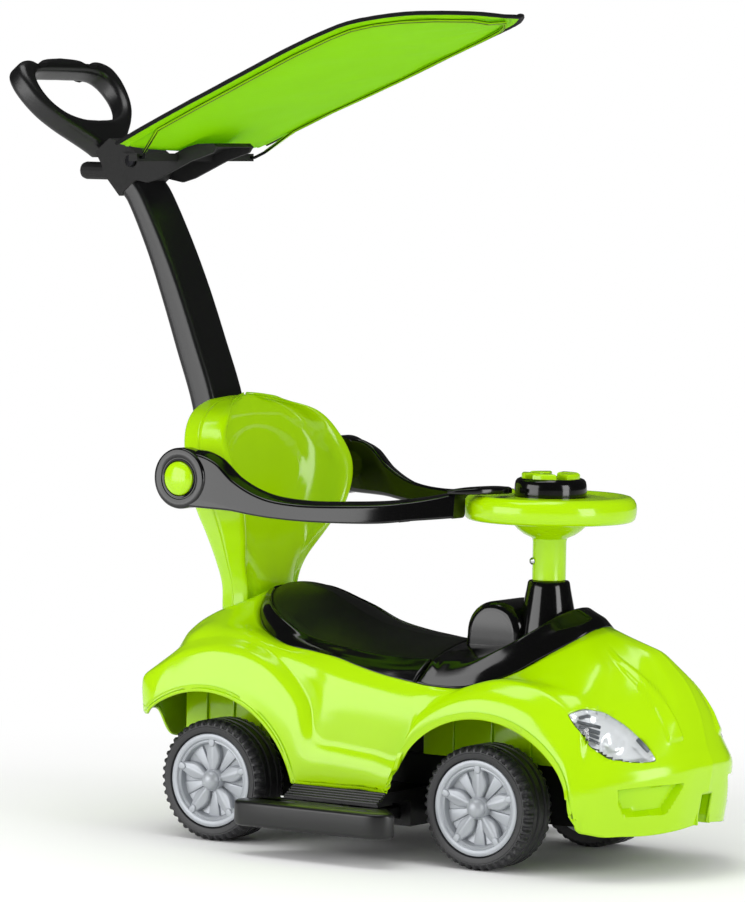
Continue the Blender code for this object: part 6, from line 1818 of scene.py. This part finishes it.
@dataclass
class Studio:
    """The white floor, the soft lights and the camera at the photograph's angle."""

    camera_at: tuple[float, float, float] = (3.2549 + MIDDLE_X, -4.9927, 0.8480)
    azimuth: float = 0.58633198
    pitch: float = 0.06647126
    roll: float = 0.01747884
    lens: float = 207.54

    def build_camera(self) -> None:
        """Places the camera."""
        camera = bpy.data.cameras.new("photo_camera")
        camera.lens = self.lens
        camera.sensor_width = 36.0
        camera.clip_end = 60.0
        stand = bpy.data.objects.new("photo_camera", camera)
        bpy.context.scene.collection.objects.link(stand)
        sideways = Vector((math.cos(self.azimuth), math.sin(self.azimuth), 0.0))
        forward = Vector((-math.sin(self.azimuth) * math.cos(self.pitch),
                          math.cos(self.azimuth) * math.cos(self.pitch), -math.sin(self.pitch)))
        upward = sideways.cross(forward)
        right = sideways * math.cos(self.roll) + upward * math.sin(self.roll)
        top = upward * math.cos(self.roll) - sideways * math.sin(self.roll)
        turn = Matrix((right, top, -forward)).transposed().to_4x4()
        stand.matrix_world = Matrix.Translation(self.camera_at) @ turn
        bpy.context.scene.camera = stand

    def build_floor(self) -> None:
        """Lays the floor, white to the camera and pale grey to everything else."""
        material, tree = new_material("matt_white_studio_floor")
        place = add_node(tree, "ShaderNodeTexCoord").outputs["Object"]
        mottle = add_node(tree, "ShaderNodeTexNoise", {"Vector": place, "Scale": 3.0}).outputs["Fac"]
        paint = add_node(tree, "ShaderNodeBsdfDiffuse", {"Color": two_tone(tree, mottle, "F1F1F1", "EFEFEF")})
        length = add_node(tree, "ShaderNodeVectorMath", {0: place}, operation="LENGTH").outputs["Value"]
        far = add_node(tree, "ShaderNodeMapRange", {"Value": length, "From Min": 0.50, "From Max": 1.15},
                       interpolation_type="SMOOTHERSTEP").outputs["Result"]
        seen = add_node(tree, "ShaderNodeLightPath").outputs["Is Camera Ray"]
        share = add_node(tree, "ShaderNodeMath", {0: far, 1: seen}, operation="MULTIPLY").outputs["Value"]
        white = add_node(tree, "ShaderNodeEmission", {"Strength": 1.0})
        floor_shader = add_node(tree, "ShaderNodeMixShader", {0: share, 1: paint.outputs["BSDF"],
                                                             2: white.outputs["Emission"]})
        add_node(tree, "ShaderNodeOutputMaterial", {"Surface": floor_shader.outputs["Shader"]})
        bm = bmesh.new()
        bmesh.ops.create_grid(bm, x_segments=8, y_segments=8, size=14.0)
        mesh = bpy.data.meshes.new("studio_floor")
        bm.to_mesh(mesh)
        bm.free()
        mesh.materials.append(material)
        floor = bpy.data.objects.new("studio_floor", mesh)
        bpy.context.scene.collection.objects.link(floor)

    def lamp(self, name: str, at: Point, towards: Point, size: tuple[float, float], power: float) -> None:
        """Places a rectangular soft lamp."""
        light = bpy.data.lights.new(name, "AREA")
        light.shape = "RECTANGLE"
        light.size, light.size_y = size
        light.energy = power
        lamp = bpy.data.objects.new(name, light)
        bpy.context.scene.collection.objects.link(lamp)
        way = Vector(at) - Vector(towards)
        lamp.matrix_world = Matrix.Translation(at) @ way.to_track_quat("Z", "Y").to_matrix().to_4x4()

    def build_world(self) -> None:
        """Makes surroundings that are white to the camera and dark to mirrors, where lamps draw the gloss."""
        world = bpy.data.worlds.new("studio_surroundings")
        world.use_nodes = True
        tree = world.node_tree
        tree.nodes.clear()
        path = add_node(tree, "ShaderNodeLightPath")
        seen = add_node(tree, "ShaderNodeMath",
                        {0: path.outputs["Is Camera Ray"], 1: path.outputs["Is Transmission Ray"]},
                        operation="MAXIMUM")
        glossy = span(tree, path.outputs["Is Glossy Ray"], 0.66, 0.04)
        strength = add_node(tree, "ShaderNodeMix", {0: seen.outputs["Value"], 2: glossy, 3: 1.0},
                            data_type="FLOAT")
        light = add_node(tree, "ShaderNodeBackground",
                         {"Color": (1.0, 1.0, 1.0, 1.0), "Strength": strength.outputs[0]})
        add_node(tree, "ShaderNodeOutputWorld", {"Surface": light.outputs["Background"]})
        bpy.context.scene.world = world

    def build(self) -> None:
        """Builds the whole studio."""
        self.build_camera()
        self.build_floor()
        self.build_world()
        aim = (0.0, 0.0, 0.30)
        self.lamp("side_softbox", (-1.25, -2.70, 0.80), aim, (2.3, 1.7), 48.0)
        self.lamp("front_strip", (2.6, -0.35, 0.75), aim, (0.9, 1.6), 26.0)
        self.lamp("overhead", (-0.3, -0.2, 2.9), (0.0, 0.0, 0.0), (1.8, 1.8), 34.0)
        bpy.context.scene.view_settings.view_transform = "Standard"


def dress_nodes() -> None:
    """Gives every CAD node that stays visible the finish of its slot, and the nodes near the clamp a dark
    finish instead.
    """
    slots = {part["node"]: part["material_slot"] for part in frame["record"]["subparts"]}
    for name, node in frame["nodes"].items():
        material = PAINT.of(DARK_NODES.get(name, SLOT_FINISHES[slots[name]]))
        if not node.material_slots:
            node.data.materials.append(material)
        for slot in node.material_slots:
            slot.material = material
    LOG.info("dressed %d nodes of the part", len(frame["nodes"]))


def main() -> None:
    """Builds every sub-assembly in order, and then the studio."""
    logging.basicConfig(level=logging.INFO, format="%(message)s")
    dress_nodes()
    shell = BodyShell()
    shell.build()
    shell.build_wheel_houses()
    shell.build_nose_slot()
    Headlight().build(shell)
    Seat().build()
    DashCowl().build()
    Backrest().build()
    for word, x, side, body in (
        ("front_left", FRONT_X, 1, "front_wheel_left"), ("front_right", FRONT_X, -1, "front_wheel_right"),
        ("rear_left", REAR_X, 1, "rear_wheel_left"), ("rear_right", REAR_X, -1, "rear_wheel_right"),
    ):
        Wheel(word, x, side, body).build()
    Footrest().build()
    for side, word in SIDES:
        GuardArm(side, word).build()
    SteeringWheel().build()
    PushPole().build()
    Canopy().build()
    Studio().build()


if __name__ == "__main__":
    main()
